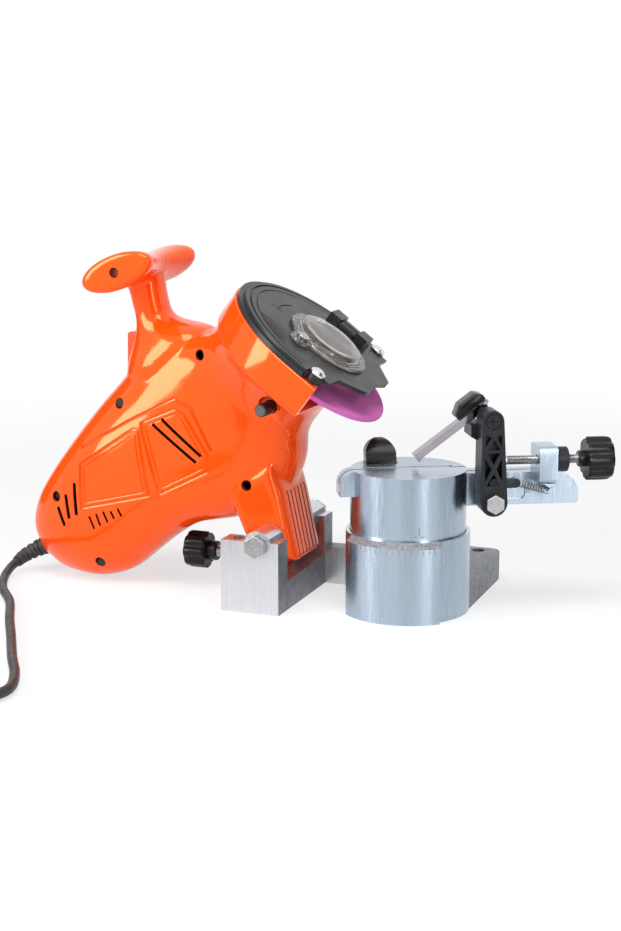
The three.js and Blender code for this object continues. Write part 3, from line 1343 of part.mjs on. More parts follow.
  form = cut(form, alongY(rod(screwHoleRadius, -wide, -housingHalf + dimpleDepth, smallSides))
    .translate(dimpleAt[0], 0, dimpleAt[1]));
  const guardBolts = [-1, 1].map((side) =>
    rod(guardBoltRadius + seatGap, trayBack + trayWall, trayFront + overrun, smallSides)
      .translate(guardBoltX - trayBevel, side * guardBoltY, 0));
  form = cut(form, ...guardBolts);
  const far = handleReach;
  const frontSide = block([-far, -far, -far], [far, -shellSplit, far]);
  const rearSide = block([-far, shellSplit, -far], [far, far, far]);
  return [common(form, frontSide), common(form, rearSide)];
}
// A slot through the shell wall along a line in the side face
function ventCut(a, b, width, side) {
  const length = Math.hypot(b[0] - a[0], b[1] - a[1]);
  const turn = Math.atan2(b[1] - a[1], b[0] - a[0]);
  const low = side < 0 ? -wheelRadius : housingHalf - ventDepth;
  const high = side < 0 ? -housingHalf + ventDepth : wheelRadius;
  return sidePlate(roundedBox(-length / 2, -width / 2, length / 2, width / 2, width / 2 - endEase), low,
    high, 1)
    .rotateY(-turn).translate((a[0] + b[0]) / 2, 0, (a[1] + b[1]) / 2);
}
function largest(form) {
  return form.decompose().reduce((best, item) => (item.volume() > best.volume() ? item : best));
}
const [frontShell, rearShell] = makeHousing();
piece(head, "housing_front", largest(frontShell), orangeShell);
piece(head, "housing_rear", largest(rearShell), orangeShell);

// Housing screws, in the recesses of the front shell
housingScrews.forEach(([x, z], i) => {
  const at = (geometry) => alongY(geometry).translate(x, 0, z);
  piece(head, `housing_screw_${i + 1}`, join(
    at(rod(screwHeadRadius, -screwFloor - screwShank, -screwFloor - seatGap, smallSides)),
    at(rod(screwShank, -screwFloor - screwShank, screwLength - seatGap, smallSides)),
  ), zincSteel);
});

// Wheel guard over the tray
function guardShape() {
  const shape = new THREE.Shape();
  const side = guardFaceRadius;
  shape.moveTo(0, -side);
  shape.lineTo(guardBoltX, -side + guardEase);
  shape.lineTo(guardCorner, -side + guardEase * 2);
  shape.lineTo(guardCorner, -guardShoulder);
  shape.lineTo(guardTipX - guardEase, -guardShoulder / 2 - guardEaseRun);
  shape.lineTo(guardTipX, -guardNotch);
  shape.lineTo(guardNotchDepth, 0);
  shape.lineTo(guardTipX, guardNotch);
  shape.lineTo(guardTipX - guardEase, guardShoulder / 2 + guardEaseRun);
  shape.lineTo(guardCorner, guardShoulder);
  shape.lineTo(guardCorner, side - guardEase * 2);
  shape.lineTo(guardBoltX, side - guardEase);
  shape.lineTo(0, side);
  shape.absarc(0, 0, side, Math.PI / 2, halfTurn + halfTurn / 2);
  return shape;
}
function makeGuard() {
  const face = plate(guardShape(), guardFace - guardWall, guardFace, guardCurve);
  const rimBottom = trayFront + seatGap;
  const rim = cut(
    plate(trayShape(trayRadius - guardRadius, guardBoltX), rimBottom, guardFace - guardWall / 2,
      guardCurve),
    plate(trayShape(trayRadius - guardRadius + guardLip / 2, guardBoltX + overrun), rimBottom - overrun,
      guardFace - guardWall, guardCurve),
    block([guardBoltX - guardLip, -guardRadius * 2, guardFace - guardWall],
      [guardBoltX + guardLip, guardRadius * 2, guardFace + overrun]),
  );
  const rimTrim = cut(rim,
    plate(trayShape(0, guardBoltX + overrun), guardFace - guardWall + seatGap / 2, guardFace + overrun,
    guardCurve));
  const bosses = [-1, 1].map((side) =>
    rod(guardBossRadius, rimBottom, guardFace, smallSides).translate(guardBoltX - trayBevel,
      side * guardBoltY, 0));
  const holes = [-1, 1].map((side) =>
    rod(guardBoltRadius + seatGap, rimBottom - overrun, guardFace + overrun,
      smallSides).translate(guardBoltX - trayBevel, side * guardBoltY, 0));
  const opening = rod(windowOpening, rimBottom, guardFace + overrun).translate(windowX, 0, 0);
  const screwHole = rod(windowScrewRadius + hingePinRadius, rimBottom, guardFace + overrun, smallSides)
    .translate(windowLobeX, windowLobeY, 0);
  return cut(join(face, rimTrim, ...bosses), ...holes, opening, screwHole);
}
piece(head, "wheel_guard", makeGuard(), blackPlastic);
for (const [side, name] of [[-1, "front"], [1, "rear"]]) {
  const place = (geometry) => geometry.translate(guardBoltX - trayBevel, side * guardBoltY, 0);
  const headBottom = guardFace + seatGap;
  piece(head, `guard_bolt_${name}`, join(
    place(rod(guardBoltRadius, trayBack + trayWall + seatGap, headBottom + seatGap, smallSides)),
    place(turned([[0, headBottom], [guardBoltHead, headBottom],
      [guardBoltHead, headBottom + guardBoltRadius / 2],
      [guardBoltRadius, headBottom + guardBoltRadius], [0, headBottom + guardBoltRadius]], smallSides)),
  ), brightSteel);
}

// Smoked inspection window, hinged at the back of the guard
const windowBottom = guardFace + seatGap;
const barrel = (low, high, radius) =>
  alongX(rod(radius, low, high, smallSides)).translate(0, hingeY, hingeAxisZ);
function makeWindow() {
  const shell = turned([
    [0, windowBottom + windowHeight - windowWall],
    [windowDome - windowWall, windowBottom + windowHeight - windowWall],
    [windowDome - windowWall, windowBottom], [windowRadius, windowBottom],
    [windowRadius, windowBottom + windowWall],
    [windowDome + windowWall, windowBottom + windowShoulder],
    [windowDome, windowBottom + windowHeight - windowWall / 2],
    [windowDome - windowWall, windowBottom + windowHeight], [0, windowBottom + windowHeight],
  ]).translate(windowX, 0, 0);
  const lobe = rod(windowLobeRadius, windowBottom, windowBottom + windowWall,
    smallSides).translate(windowLobeX, windowLobeY, 0);
  const ear = block([knuckleLeft, windowEarStart, windowBottom],
    [knuckleRight, hingeY, windowBottom + windowWall]);
  const hole = rod(windowScrewRadius + seatGap, windowBottom - overrun, windowBottom + windowHeight,
    smallSides)
    .translate(windowLobeX, windowLobeY, 0);
  return cut(join(shell, lobe, ear, barrel(knuckleLeft, knuckleRight, hingeRadius)), hole,
    barrel(knuckleLeft - overrun, knuckleRight + overrun, hingePinRadius + seatGap));
}
piece(head, "guard_window", makeWindow(), smokedClear);
piece(head, "window_screw", join(
  rod(windowScrewRadius, guardFace - guardWall, windowBottom + windowWall + seatGap * 2, smallSides),
  rod(windowScrewHead, windowBottom + windowWall + seatGap, windowBottom + windowWall + guardWall,
    smallSides),
).translate([windowLobeX, windowLobeY, 0]), zincSteel);
piece(head, "hinge_block", cut(
  join(
    plate(roundedBox(hingeLeft, hingeY, hingeLeft + hingeLength, hingeY + hingeBlockDepth,
      hingePinRadius), windowBottom, windowBottom + hingeRadius, smallCurve),
    barrel(hingeLeft, knuckleLeft - slideGap, hingeRadius),
      barrel(knuckleRight + slideGap, hingeLeft + hingeLength, hingeRadius),
  ),
  barrel(knuckleLeft - slideGap, knuckleRight + slideGap, hingeRadius + slideGap),
  barrel(hingeLeft - overrun, hingeLeft + hingeLength + overrun, hingePinRadius + seatGap),
), blackPlastic);
piece(head, "hinge_pin", barrel(hingeLeft, hingeLeft + hingeLength, hingePinRadius), zincSteel);

// Trigger and switch in the grip
piece(head, "trigger", join(
  triggerBlock(0, triggerPaddle, -triggerLength / 2, triggerLength / 2, -triggerWidth / 2,
    triggerWidth / 2),
  triggerBlock(triggerPaddle - seatGap, switchStart - triggerTravel - seatGap, -triggerStem / 2,
    triggerStem / 2, -triggerStem / 2, triggerStem / 2),
), orangeShell);
piece(head, "switch_body",
  triggerBlock(switchStart, switchStart + switchDepth, -switchLength / 2, switchLength / 2,
  -switchWidth / 2, switchWidth / 2), blackPlastic);

// Spindle lock button
piece(head, "spindle_lock", alongY(turned([
  [0, lockButtonOut], [lockButtonRadius - screwChamfer, lockButtonOut],
  [lockButtonRadius, lockButtonOut + screwChamfer],
  [lockButtonRadius, lockStepEnd], [lockTipRadius, lockStepEnd], [lockTipRadius, lockTip], [0, lockTip],
], smallSides)).translate(0, 0, -lockPinDepth), coreSteel);

// Mains lead: bend sleeve, free lead, coil, tie and plug
const worldExit = new THREE.Vector3(exitX, 0, exitZ);
function makeSleeve() {
  const sections = [];
  const steps = sleeveSteps;
  for (let i = 0; i <= steps; i++) {
    const share = i / steps;
    const run = share * sleeveSpan;
    const point = sleeveCurve.getPointAt(share);
    const tangent = sleeveCurve.getTangentAt(share);
    const outside = Math.max(0, run - sleeveInside);
    const radius = sleeveRootRadius + (sleeveEndRadius - sleeveRootRadius) * (outside / (sleeveSpan
      - sleeveInside));
    const turn = new THREE.Quaternion().setFromUnitVectors(new THREE.Vector3(0, 0, 1), tangent);
    const ring = [];
    for (let k = 0; k < smallSides; k++) {
      const angle = ((k + 0.5) / smallSides) * Math.PI * 2;
      ring.push(new THREE.Vector3(radius * Math.cos(angle), radius * Math.sin(angle),
        0).applyQuaternion(turn).add(point));
    }
    sections.push(ring);
  }
  return loft(sections);
}
const exitUnit = new THREE.Vector3(-exitRun, 0, -exitFall).normalize();
const sleeveCurve = new THREE.CatmullRomCurve3([
  worldExit.clone().addScaledVector(exitUnit, -sleeveInside), worldExit.clone(),
  ...sleeveTable.map(([x, y, z]) => new THREE.Vector3(x, y, z)),
], false, "centripetal");
const sleeveSpan = sleeveCurve.getLength();
const sleeve = solid(makeSleeve());
piece(sharpener, "bend_sleeve", sleeve, blackRubber);
const sleeveEnd = sleeveCurve.getPointAt(1);
const sleeveAim = sleeveCurve.getTangentAt(1);
const leadStart = sleeveEnd.clone().addScaledVector(sleeveAim, seatGap);
const leadPoints = [
  leadStart, leadStart.clone().addScaledVector(sleeveAim, cordRadius * 2),
  ...leadTable.map(([x, y, z]) => new THREE.Vector3(x, y, z)),
];

// Coil: an inward spiral below, a reversal, and an outward spiral above, as one unbroken tube
const coilLow = cordRadius + tieThickness + slideGap;
const coilRise = cordRadius * 2 + coilLayerGap;
function coilPoints() {
  const points = [];
  const half = coilTurns / 2;
  const steps = Math.round(coilTurns * coilStepsPerTurn);
  const inner = coilOuter - coilPitch * half;
  for (let i = 0; i <= steps; i++) {
    const turn = i / coilStepsPerTurn;
    const fromMiddle = turn - half;
    const eased = Math.abs(fromMiddle) < turnBackShare
      ? turnBackShare / 2 + (fromMiddle * fromMiddle) / turnBackShare / 2
      : Math.abs(fromMiddle);
    const radius = inner + coilPitch * eased;
    const climb = THREE.MathUtils.smoothstep(fromMiddle, -turnBackShare, turnBackShare);
    const angle = coilStart - turn * Math.PI * 2;
    points.push(new THREE.Vector3(
      coilX + radius * Math.cos(angle), coilY + radius * Math.sin(angle), coilLow + coilRise * climb));
  }
  return points;
}
function leastGap(points, radius) {
  let least = Infinity;
  const skip = Math.round(coilStepsPerTurn * apartShare);
  for (let i = 0; i < points.length; i++) {
    for (let j = i + skip; j < points.length; j++) {
      least = Math.min(least, points[i].distanceTo(points[j]) - radius * 2);
    }
  }
  return least;
}
const coil = coilPoints();
const straightIn = coil[1].clone().sub(coil[0]).normalize();
const coilEntry = coil[0].clone().addScaledVector(straightIn, -cordRadius * 2);
const straightOut = coil[coil.length - 1].clone().sub(coil[coil.length - 2]).normalize();
const tail = [];
for (let i = 1; i <= tailSteps; i++) {
  const run = (tailLength * i) / tailSteps;
  const drop = THREE.MathUtils.smoothstep(run, tailLevel, tailLength - tailLevel);
  const point = coil[coil.length - 1].clone().addScaledVector(straightOut, run);
  tail.push(point.setZ(point.z + (plugHalf + seatGap - point.z) * drop));
}
const coilExit = tail[tail.length - 1];
const coilRun = [coilEntry, ...coil, ...tail];
console.log("least gap in the coil, mm:", leastGap(coilRun, cordRadius).toFixed(2));
piece(sharpener, "cord_coil", tubeThrough(coilRun, cordRadius, coilSides, coilRun.length - 1, true),
  blackRubber);
const leadEnd = coilEntry.clone().addScaledVector(straightIn, -seatGap);
leadPoints.push(leadEnd.clone().addScaledVector(straightIn, -cordRadius * 2), leadEnd);
piece(sharpener, "cord_lead", tubeThrough(leadPoints, cordRadius, cordSides, leadSteps), blackRubber);

// Tie round all turns of the coil
function makeTie() {
  const angle = tieAngle;
  const half = coilTurns / 2;
  const inner = coilOuter - coilPitch * half - cordRadius - slideGap - tieSlack;
  const outer = coilOuter + cordRadius + slideGap + tieSlack;
  const top = coilLow + coilRise + cordRadius + slideGap;
  const bottom = coilLow - cordRadius - slideGap;
  const loop = cut(
    sidePlate(roundedBox(inner - tieThickness, bottom - tieThickness, outer + tieThickness,
      top + tieThickness, cordRadius), -tieWidth / 2, tieWidth / 2, smallCurve),
    sidePlate(roundedBox(inner, bottom, outer, top, cordRadius - tieThickness), -tieWidth, tieWidth,
      smallCurve),
  );
  const body = block([outer, -tieWidth / 2, bottom + tieThickness],
    [outer + tieWidth, tieWidth / 2, bottom + tieThickness + tieHeadHeight]);
  return join(loop, body).rotate([0, 0, THREE.MathUtils.radToDeg(angle)]).translate([coilX, coilY, 0]);
}
piece(sharpener, "cord_tie", makeTie(), blackRubber);

// Plug at the far end, lying on the surface
function makePlug() {
  const bodyShape = [[0, 0], [plugNeck, 0], [plugNeck, plugNeckLength],
    [plugRadius, plugNeckLength + plugRadius / 2],
    [plugRadius, plugLength], [0, plugLength]];
  const flat = block([-plugRadius * 2, -plugHalf, -overrun],
    [plugRadius * 2, plugHalf, plugLength + overrun]);
  const body = common(turned(bodyShape, roundSides), flat);
  const pins = [-1, 1].map((side) =>
    rod(plugPinRadius, plugLength - overrun, plugLength + plugPinLength,
      smallSides).translate((side * plugPinSpacing) / 2, 0, 0));
  const aim = plugAim;
  return [body, pins].flat().map((item) => {
    const item2 = solid(item);
    return item2.rotate([-90, 0, 0]).rotate([0, 0,
      THREE.MathUtils.radToDeg(Math.atan2(aim.y, aim.x)) - 90]).translate([plugAt.x, plugAt.y, plugAt.z]);
  });
}
const plugAim = straightOut.clone().setZ(0).normalize();
const plugAt = coilExit.clone().addScaledVector(plugAim, seatGap);
const [plugBody, pinFront, pinRear] = makePlug();
piece(sharpener, "plug", join(plugBody, pinFront, pinRear), blackRubber);



export default sharpener;
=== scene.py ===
import json
from math import copysign, cos, dist, hypot, pi, radians, sin

import bmesh
import bpy
from mathutils import Matrix, Vector


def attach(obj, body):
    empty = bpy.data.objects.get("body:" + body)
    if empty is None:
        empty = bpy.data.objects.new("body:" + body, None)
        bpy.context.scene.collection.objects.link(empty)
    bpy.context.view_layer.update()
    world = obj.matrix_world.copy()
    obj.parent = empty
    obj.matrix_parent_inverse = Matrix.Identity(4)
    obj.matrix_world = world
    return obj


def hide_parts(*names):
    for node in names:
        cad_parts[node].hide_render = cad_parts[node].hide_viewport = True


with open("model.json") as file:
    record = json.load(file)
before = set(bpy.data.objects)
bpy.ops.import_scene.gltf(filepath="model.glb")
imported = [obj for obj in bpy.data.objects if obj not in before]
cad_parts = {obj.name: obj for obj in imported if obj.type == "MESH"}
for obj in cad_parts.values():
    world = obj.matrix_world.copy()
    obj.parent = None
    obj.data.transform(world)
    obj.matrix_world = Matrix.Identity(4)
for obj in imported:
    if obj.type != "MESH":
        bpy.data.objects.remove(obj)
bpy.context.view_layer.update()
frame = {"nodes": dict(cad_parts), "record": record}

# Camera: stands to the right of the sharpener's front and a little above it, where the base's
# front, the side of the grinder head and the face of the wheel guard all show.
VIEW_TURN = radians(20.63)
VIEW_DROP = radians(11.33)
VIEW_DISTANCE = 1.0756
VIEW_CENTRE = Vector((-0.06682, 0.0, 0.08855))
SENSOR_WIDTH = 36.0
FOCAL_PIXELS = 1650.0
FRAME_HEIGHT = 931.0
toward = Vector((
    sin(VIEW_TURN) * cos(VIEW_DROP),
    -cos(VIEW_TURN) * cos(VIEW_DROP),
    sin(VIEW_DROP),
))
sideways = Vector((cos(VIEW_TURN), sin(VIEW_TURN), 0.0))
upward = toward.cross(sideways)


def placed(name, data):
    """A new object in the scene."""
    thing = bpy.data.objects.new(name, data)
    bpy.context.scene.collection.objects.link(thing)
    return thing


camera_data = bpy.data.cameras.new("camera")
camera_data.sensor_width = SENSOR_WIDTH
camera_data.lens = FOCAL_PIXELS * SENSOR_WIDTH / FRAME_HEIGHT
camera_data.clip_end = 20.0
camera = placed("camera", camera_data)
camera.matrix_world = (
    Matrix.Translation(VIEW_CENTRE + toward * VIEW_DISTANCE)
    @ Matrix((sideways, upward, toward)).transposed().to_4x4()
)
bpy.context.scene.camera = camera
bpy.context.scene.view_settings.view_transform = "Standard"

# Studio: a plain pale floor, a white surround and three large soft lamps. The surround looks white and
# lights the object with less, and the floor fades into it. Three dark cards show only in reflections.


def wire(tree, *links):
    """Links an output to an input for each (node, output, node, input)."""
    for source, output, target, socket in links:
        tree.links.new(source.outputs[output], target.inputs[socket])


def added(tree, *kinds):
    """A new node of each kind in a node tree."""
    return [tree.nodes.new("ShaderNode" + kind) for kind in kinds]


def given(node, **values):
    """Sets inputs of a node by name, with _ for each space."""
    for socket, value in values.items():
        node.inputs[socket.replace("_", " ")].default_value = value


def fresh(holder, *kinds):
    """The emptied node tree of a world or material, and a new node of each kind in it."""
    holder.use_nodes = True
    holder.node_tree.nodes.clear()
    return holder.node_tree, *added(holder.node_tree, *kinds)


def seen_directly(tree):
    """A node with a value of 1 for camera, glossy and transmission rays."""
    rays, first, second = added(tree, "LightPath", "Math", "Math")
    first.operation = second.operation = "MAXIMUM"
    wire(tree, (rays, "Is Camera Ray", first, 0), (rays, "Is Transmission Ray", first, 1),
         (first, 0, second, 0), (rays, "Is Glossy Ray", second, 1))
    return second


def stage_sheet(name, corners, material):
    mesh = bpy.data.meshes.new(name)
    mesh.from_pydata(corners, [], [(0, 1, 2, 3)])
    mesh.materials.append(material)
    placed(name, mesh)


WHITE = (1.0, 1.0, 1.0, 1.0)
world = bpy.data.worlds.new("studio")
bpy.context.scene.world = world
world_tree, world_out, world_mix, world_light, world_white = fresh(
    world, "OutputWorld", "MixShader", "Background", "Background")
given(world_light, Color=(0.92, 0.95, 1.0, 1.0), Strength=0.36)
given(world_white, Color=WHITE, Strength=1.0)
wire(world_tree, (seen_directly(world_tree), 0, world_mix, 0), (world_light, 0, world_mix, 1),
     (world_white, 0, world_mix, 2), (world_mix, 0, world_out, "Surface"))

floor_material = bpy.data.materials.new("pale floor")
floor_tree, floor_out, floor_mix, floor_paint, floor_glow = fresh(
    floor_material, "OutputMaterial", "MixShader", "BsdfDiffuse", "Emission")
floor_share, floor_place, floor_reach, floor_fade = added(
    floor_tree, "Math", "TexCoord", "VectorMath", "MapRange")
given(floor_paint, Color=(0.86, 0.86, 0.87, 1.0))
given(floor_glow, Color=WHITE)
given(floor_fade, From_Min=0.30, From_Max=1.0, To_Min=0.66, To_Max=1.0)
floor_share.operation = "MULTIPLY"
floor_reach.operation = "LENGTH"
floor_fade.interpolation_type = "SMOOTHSTEP"
wire(floor_tree, (floor_place, "Object", floor_reach, 0), (floor_reach, "Value", floor_fade, "Value"),
     (floor_fade, "Result", floor_share, 1), (seen_directly(floor_tree), 0, floor_share, 0),
     (floor_share, 0, floor_mix, 0), (floor_paint, 0, floor_mix, 1), (floor_glow, 0, floor_mix, 2),
     (floor_mix, 0, floor_out, "Surface"))
stage_sheet("floor", [(-6, -6, 0), (6, -6, 0), (6, 6, 0), (-6, 6, 0)], floor_material)

card_black = bpy.data.materials.new("dark card")
card_tree, card_out, card_mix, card_clear, card_paint, card_rays = fresh(
    card_black, "OutputMaterial", "MixShader", "BsdfTransparent", "BsdfDiffuse", "LightPath")
given(card_paint, Color=(0.03, 0.032, 0.036, 1.0))
wire(card_tree, (card_rays, "Is Glossy Ray", card_mix, 0), (card_clear, 0, card_mix, 1),
     (card_paint, 0, card_mix, 2), (card_mix, 0, card_out, "Surface"))
for turn, reach, width, top in ((8.0, 0.80, 0.62, 0.85), (-71.0, 1.55, 0.80, 1.30), (172.0, 1.10, 0.60, 0.80)):
    aim = Vector((cos(radians(turn)), sin(radians(turn)), 0.0))
    aside = Vector((-aim.y, aim.x, 0.0)) * width / 2
    stage_sheet("dark card", [aim * reach + aside * k + Vector((0, 0, z)) for k, z in (
        (-1, 0.0), (1, 0.0), (1, top), (-1, top))], card_black)

for name, place, aim, width, height, power in (
        ("overhead box", (0.02, -0.42, 1.12), (-0.08, 0.0, 0.1), 0.80, 0.55, 10.0),
        ("left box", (-1.05, -0.95, 0.60), (-0.1, 0.0, 0.1), 0.46, 0.95, 13.5),
        ("right strip", (1.0, -0.85, 0.55), (0.0, 0.0, 0.08), 0.16, 1.0, 5.5)):
    light = bpy.data.lights.new(name, "AREA")
    light.shape = "RECTANGLE"
    light.size, light.size_y, light.energy = width, height, power
    lamp = placed(name, light)
    lamp.location = place
    lamp.rotation_euler = (Vector(aim) - Vector(place)).to_track_quat("-Z", "Y").to_euler()

# Mains lead: a round rubber-sheathed cord of 6 mm and about 1.9 m. It leaves the motor housing through
# a moulded bend sleeve, runs over the bench and is put away in a coil of seven turns, held by a tie.
body_of_node = {
    node: body for body, nodes in frame["record"]["behaviour"]["bodies"].items() for node in nodes
}


def surface(name, colour, shade, patch, rough, rough_spread, grain, bump, metal=0.0,
            stretch=(1.0, 1.0, 1.0), lathe=False, **sockets):
    """A finish with patches of a second shade, uneven roughness and a fine grain in its relief.
    patch and grain are counts per metre, bump is the relief's height in metres, and lathe turns the
    grain of an uneven gloss round the upright axis."""
    material = bpy.data.materials.new(name)
    material.use_nodes = True
    tree = material.node_tree
    shader = tree.nodes["Principled BSDF"]
    given(shader, Metallic=metal, **sockets)
    place, scale, ramp, spread, relief = added(tree, "TexCoord", "Mapping", "ValToRGB", "MapRange", "Bump")
    given(scale, Scale=stretch)
    for stop, at, tone in zip(ramp.color_ramp.elements, (0.32, 0.68), (shade, colour)):
        stop.position = at
        stop.color = (*tone, 1.0)
    given(spread, From_Min=0.3, From_Max=0.7, To_Min=max(0.02, rough - rough_spread),
          To_Max=min(1.0, rough + rough_spread))
    given(relief, Strength=1.0, Distance=bump)
    wire(tree, (place, "Object", scale, "Vector"), (ramp, "Color", shader, "Base Color"),
         (spread, "Result", shader, "Roughness"), (relief, "Normal", shader, "Normal"))
    for count, detail, roughness, target, socket in (
            (patch, 5.0, 0.6, ramp, "Fac"), (patch * 2.3, 3.0, 0.5, spread, "Value"),
            (grain, 4.0, 0.6, relief, "Height")):
        noise, = added(tree, "TexNoise")
        given(noise, Scale=count, Detail=detail, Roughness=roughness)
        wire(tree, (scale, "Vector", noise, "Vector"), (noise, "Fac", target, socket))
    if lathe:
        apart, back, around = added(tree, "SeparateXYZ", "Math", "CombineXYZ")
        back.operation = "MULTIPLY"
        back.inputs[1].default_value = -1.0
        wire(tree, (place, "Object", apart, "Vector"), (apart, "Y", back, 0), (back, 0, around, "X"),
             (apart, "X", around, "Y"), (around, "Vector", shader, "Tangent"))
    return material


def finished(name, mesh, material, nodes=(), edge=0.0, body=None, smooth=True, corner=35):
    """Places a piece: material, eased edges, the CAD nodes it stands for and the body it rides on."""
    piece = placed(name.replace(" ", "_") + "_visual", mesh)
    if material is not None:
        mesh.materials.clear()
        mesh.materials.append(material)
    if smooth:
        mesh.shade_smooth()
        mesh.set_sharp_from_angle(angle=radians(corner))
    if edge:
        bevel = piece.modifiers.new("eased edges", "BEVEL")
        bevel.width = edge
        bevel.segments = 2
        bevel.limit_method = "ANGLE"
        bevel.angle_limit = radians(corner)
        bevel.harden_normals = True
    bpy.context.view_layer.update()
    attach(piece, body or body_of_node[nodes[0]])
    if nodes:
        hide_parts(*nodes)
    return piece


def from_cad(node):
    """The closed mesh of a CAD node, with its corners joined, as a mesh of its own."""
    work = bmesh.new()
    work.from_mesh(frame["nodes"][node].data)
    bmesh.ops.remove_doubles(work, verts=work.verts, dist=2e-6)
    bmesh.ops.dissolve_limit(work, angle_limit=radians(0.6), verts=work.verts, edges=work.edges)
    mesh = bpy.data.meshes.new(node)
    work.to_mesh(mesh)
    work.free()
    return mesh


def carried(nodes, material, edge=0.0004, corner=35):
    """Pieces whose true shape is already in their CAD solids, with eased edges and a finish. Gives the last."""
    for node in nodes.split():
        piece = finished(node, from_cad(node), material, [node], edge, corner=corner)
    return piece


cord_black = surface("cord sheath", (0.016, 0.016, 0.017), (0.024, 0.024, 0.026), 90, 0.46, 0.08, 900, 8e-5)
sleeve_black = surface("sleeve rubber", (0.02, 0.02, 0.021), (0.032, 0.031, 0.03), 140, 0.58, 0.1, 1400, 6e-5)

EXIT = Vector((-263.0, 0.0, 19.0))
EXIT_AIM = Vector((-0.883, 0.0, -0.4695)).normalized()
SLEEVE_BENDS = [Vector(p) for p in ((-271.5, -2.2, 14.8), (-277.0, -8.5, 11.4), (-278.2, -17.5, 8.8))]
LEAD_POINTS = [Vector(p) for p in (
    (-275, -40, 4.2), (-262, -64, 3.3), (-242, -89, 3.3), (-220, -126, 3.3), (-203, -153, 3.3),
    (-179, -192, 3.3), (-162, -218, 3.3), (-152, -241, 3.5), (-153.5, -257, 4.1),
)]


def through(points, per_span):
    """Points along a centripetal curve through the given ones, and its direction at the last."""
    ends = [points[0] * 2 - points[1], *points, points[-1] * 2 - points[-2]]
    line = []
    for i in range(1, len(ends) - 2):
        p0, p1, p2, p3 = ends[i - 1:i + 3]
        d0, d1, d2 = ((b - a).length ** 0.5 for a, b in ((p0, p1), (p1, p2), (p2, p3)))
        t1 = ((p1 - p0) / d0 - (p2 - p0) / (d0 + d1) + (p2 - p1) / d1) * d1
        t2 = ((p2 - p1) / d1 - (p3 - p1) / (d1 + d2) + (p3 - p2) / d2) * d1
        for k in range(per_span):
            t = k / per_span
            a = 2 * t**3 - 3 * t**2 + 1
            b = t**3 - 2 * t**2 + t
            c = -2 * t**3 + 3 * t**2
            line.append(p1 * a + t1 * b + p2 * c + t2 * (t**3 - t**2))
    line.append(points[-1].copy())
    return line


def lofted(name, rings, joined=False):
    """A closed mesh through rings of points. A ring may be one point, and joined shuts it end to end."""
    work = bmesh.new()
    rows = [[work.verts.new(point) for point in ring] for ring in rings]
    pairs = list(zip(rows, rows[1:]))
    if joined:
        pairs.append((rows[-1], rows[0]))
    for a, b in pairs:
        count = max(len(a), len(b))
        for k in range(count):
            m = (k + 1) % count
            if len(a) == 1:
                work.faces.new((a[0], b[m], b[k]))
            elif len(b) == 1:
                work.faces.new((a[k], a[m], b[0]))
            else:
                work.faces.new((a[k], a[m], b[m], b[k]))
    for row in () if joined else (rows[0][::-1], rows[-1]):
        if len(row) > 1:
            work.faces.new(row)
    bmesh.ops.recalc_face_normals(work, faces=work.faces)
    mesh = bpy.data.meshes.new(name)
    work.to_mesh(mesh)
    work.free()
    return mesh


def swept(name, points, radii, sides):
    """A closed tube along points in millimetres, with one radius for each."""
    rings = []
    guide = Vector((0.0, 0.0, 1.0))
    for i, point in enumerate(points):
        aim = (points[min(i + 1, len(points) - 1)] - points[max(i - 1, 0)]).normalized()
        guide = (guide - aim * guide.dot(aim)).normalized()
        other = aim.cross(guide)
        angles = [2 * pi * k / sides for k in range(sides)]
        rings.append([(point + (guide * cos(a) + other * sin(a)) * radii[i]) * 0.001 for a in angles])
    return lofted(name, rings)


SLEEVE_ROOT = 7.0
SLEEVE_RIBS = 6.0
sleeve_line = through([EXIT - EXIT_AIM * SLEEVE_ROOT, EXIT, *SLEEVE_BENDS], 24)
sleeve_runs = [0.0]
for a, b in zip(sleeve_line, sleeve_line[1:]):
    sleeve_runs.append(sleeve_runs[-1] + (b - a).length)
sleeve_radii = []
for run in sleeve_runs:
    share = max(0.0, run - SLEEVE_ROOT) / (sleeve_runs[-1] - SLEEVE_ROOT)
    radius = 6.8 - 2.9 * share
    if 0.12 < share < 0.9 and sin(share * 2 * pi * SLEEVE_RIBS) > 0.35:
        radius -= 0.75
    sleeve_radii.append(radius)
finished("bend sleeve", swept("bend sleeve", sleeve_line, sleeve_radii, 28), sleeve_black, ["bend_sleeve"],
         corner=50)

sleeve_end = sleeve_line[-1]
end_aim = (sleeve_line[-1] - sleeve_line[-2]).normalized()
CORD_RADIUS = 3.0
COIL_TURNS = 7
COIL_PITCH = 6.7
COIL_OUTER = 47.0
COIL_CENTRE = Vector((-212.0, -290.0, 0.0))
COIL_LOW = 4.4
COIL_RISE = 6.7
TAIL_LENGTH = 62.0


def eased(value, low, high):
    t = min(1.0, max(0.0, (value - low) / (high - low)))
    return t * t * (3 - 2 * t)


coil_line = []
half_turns = COIL_TURNS / 2
for i in range(COIL_TURNS * 24 + 1):
    turn = i / 24
    off = turn - half_turns
    reach = 0.125 + 2 * off * off if abs(off) < 0.25 else abs(off)
    radius = COIL_OUTER - COIL_PITCH * half_turns + COIL_PITCH * reach
    angle = -turn * 2 * pi
    coil_line.append(COIL_CENTRE + Vector((
        radius * cos(angle), radius * sin(angle), COIL_LOW + COIL_RISE * eased(off, -0.25, 0.25))))
way_in = (coil_line[1] - coil_line[0]).normalized()
way_out = (coil_line[-1] - coil_line[-2]).normalized()
tail_line = []
for i in range(1, 15):
    run = TAIL_LENGTH * i / 14
    spot = coil_line[-1] + way_out * run
    spot.z += (6.3 - spot.z) * eased(run, 14.0, TAIL_LENGTH - 14.0)
    tail_line.append(spot)
coil_entry = coil_line[0] - way_in * 6.0
lead_start = sleeve_end + end_aim * 0.3
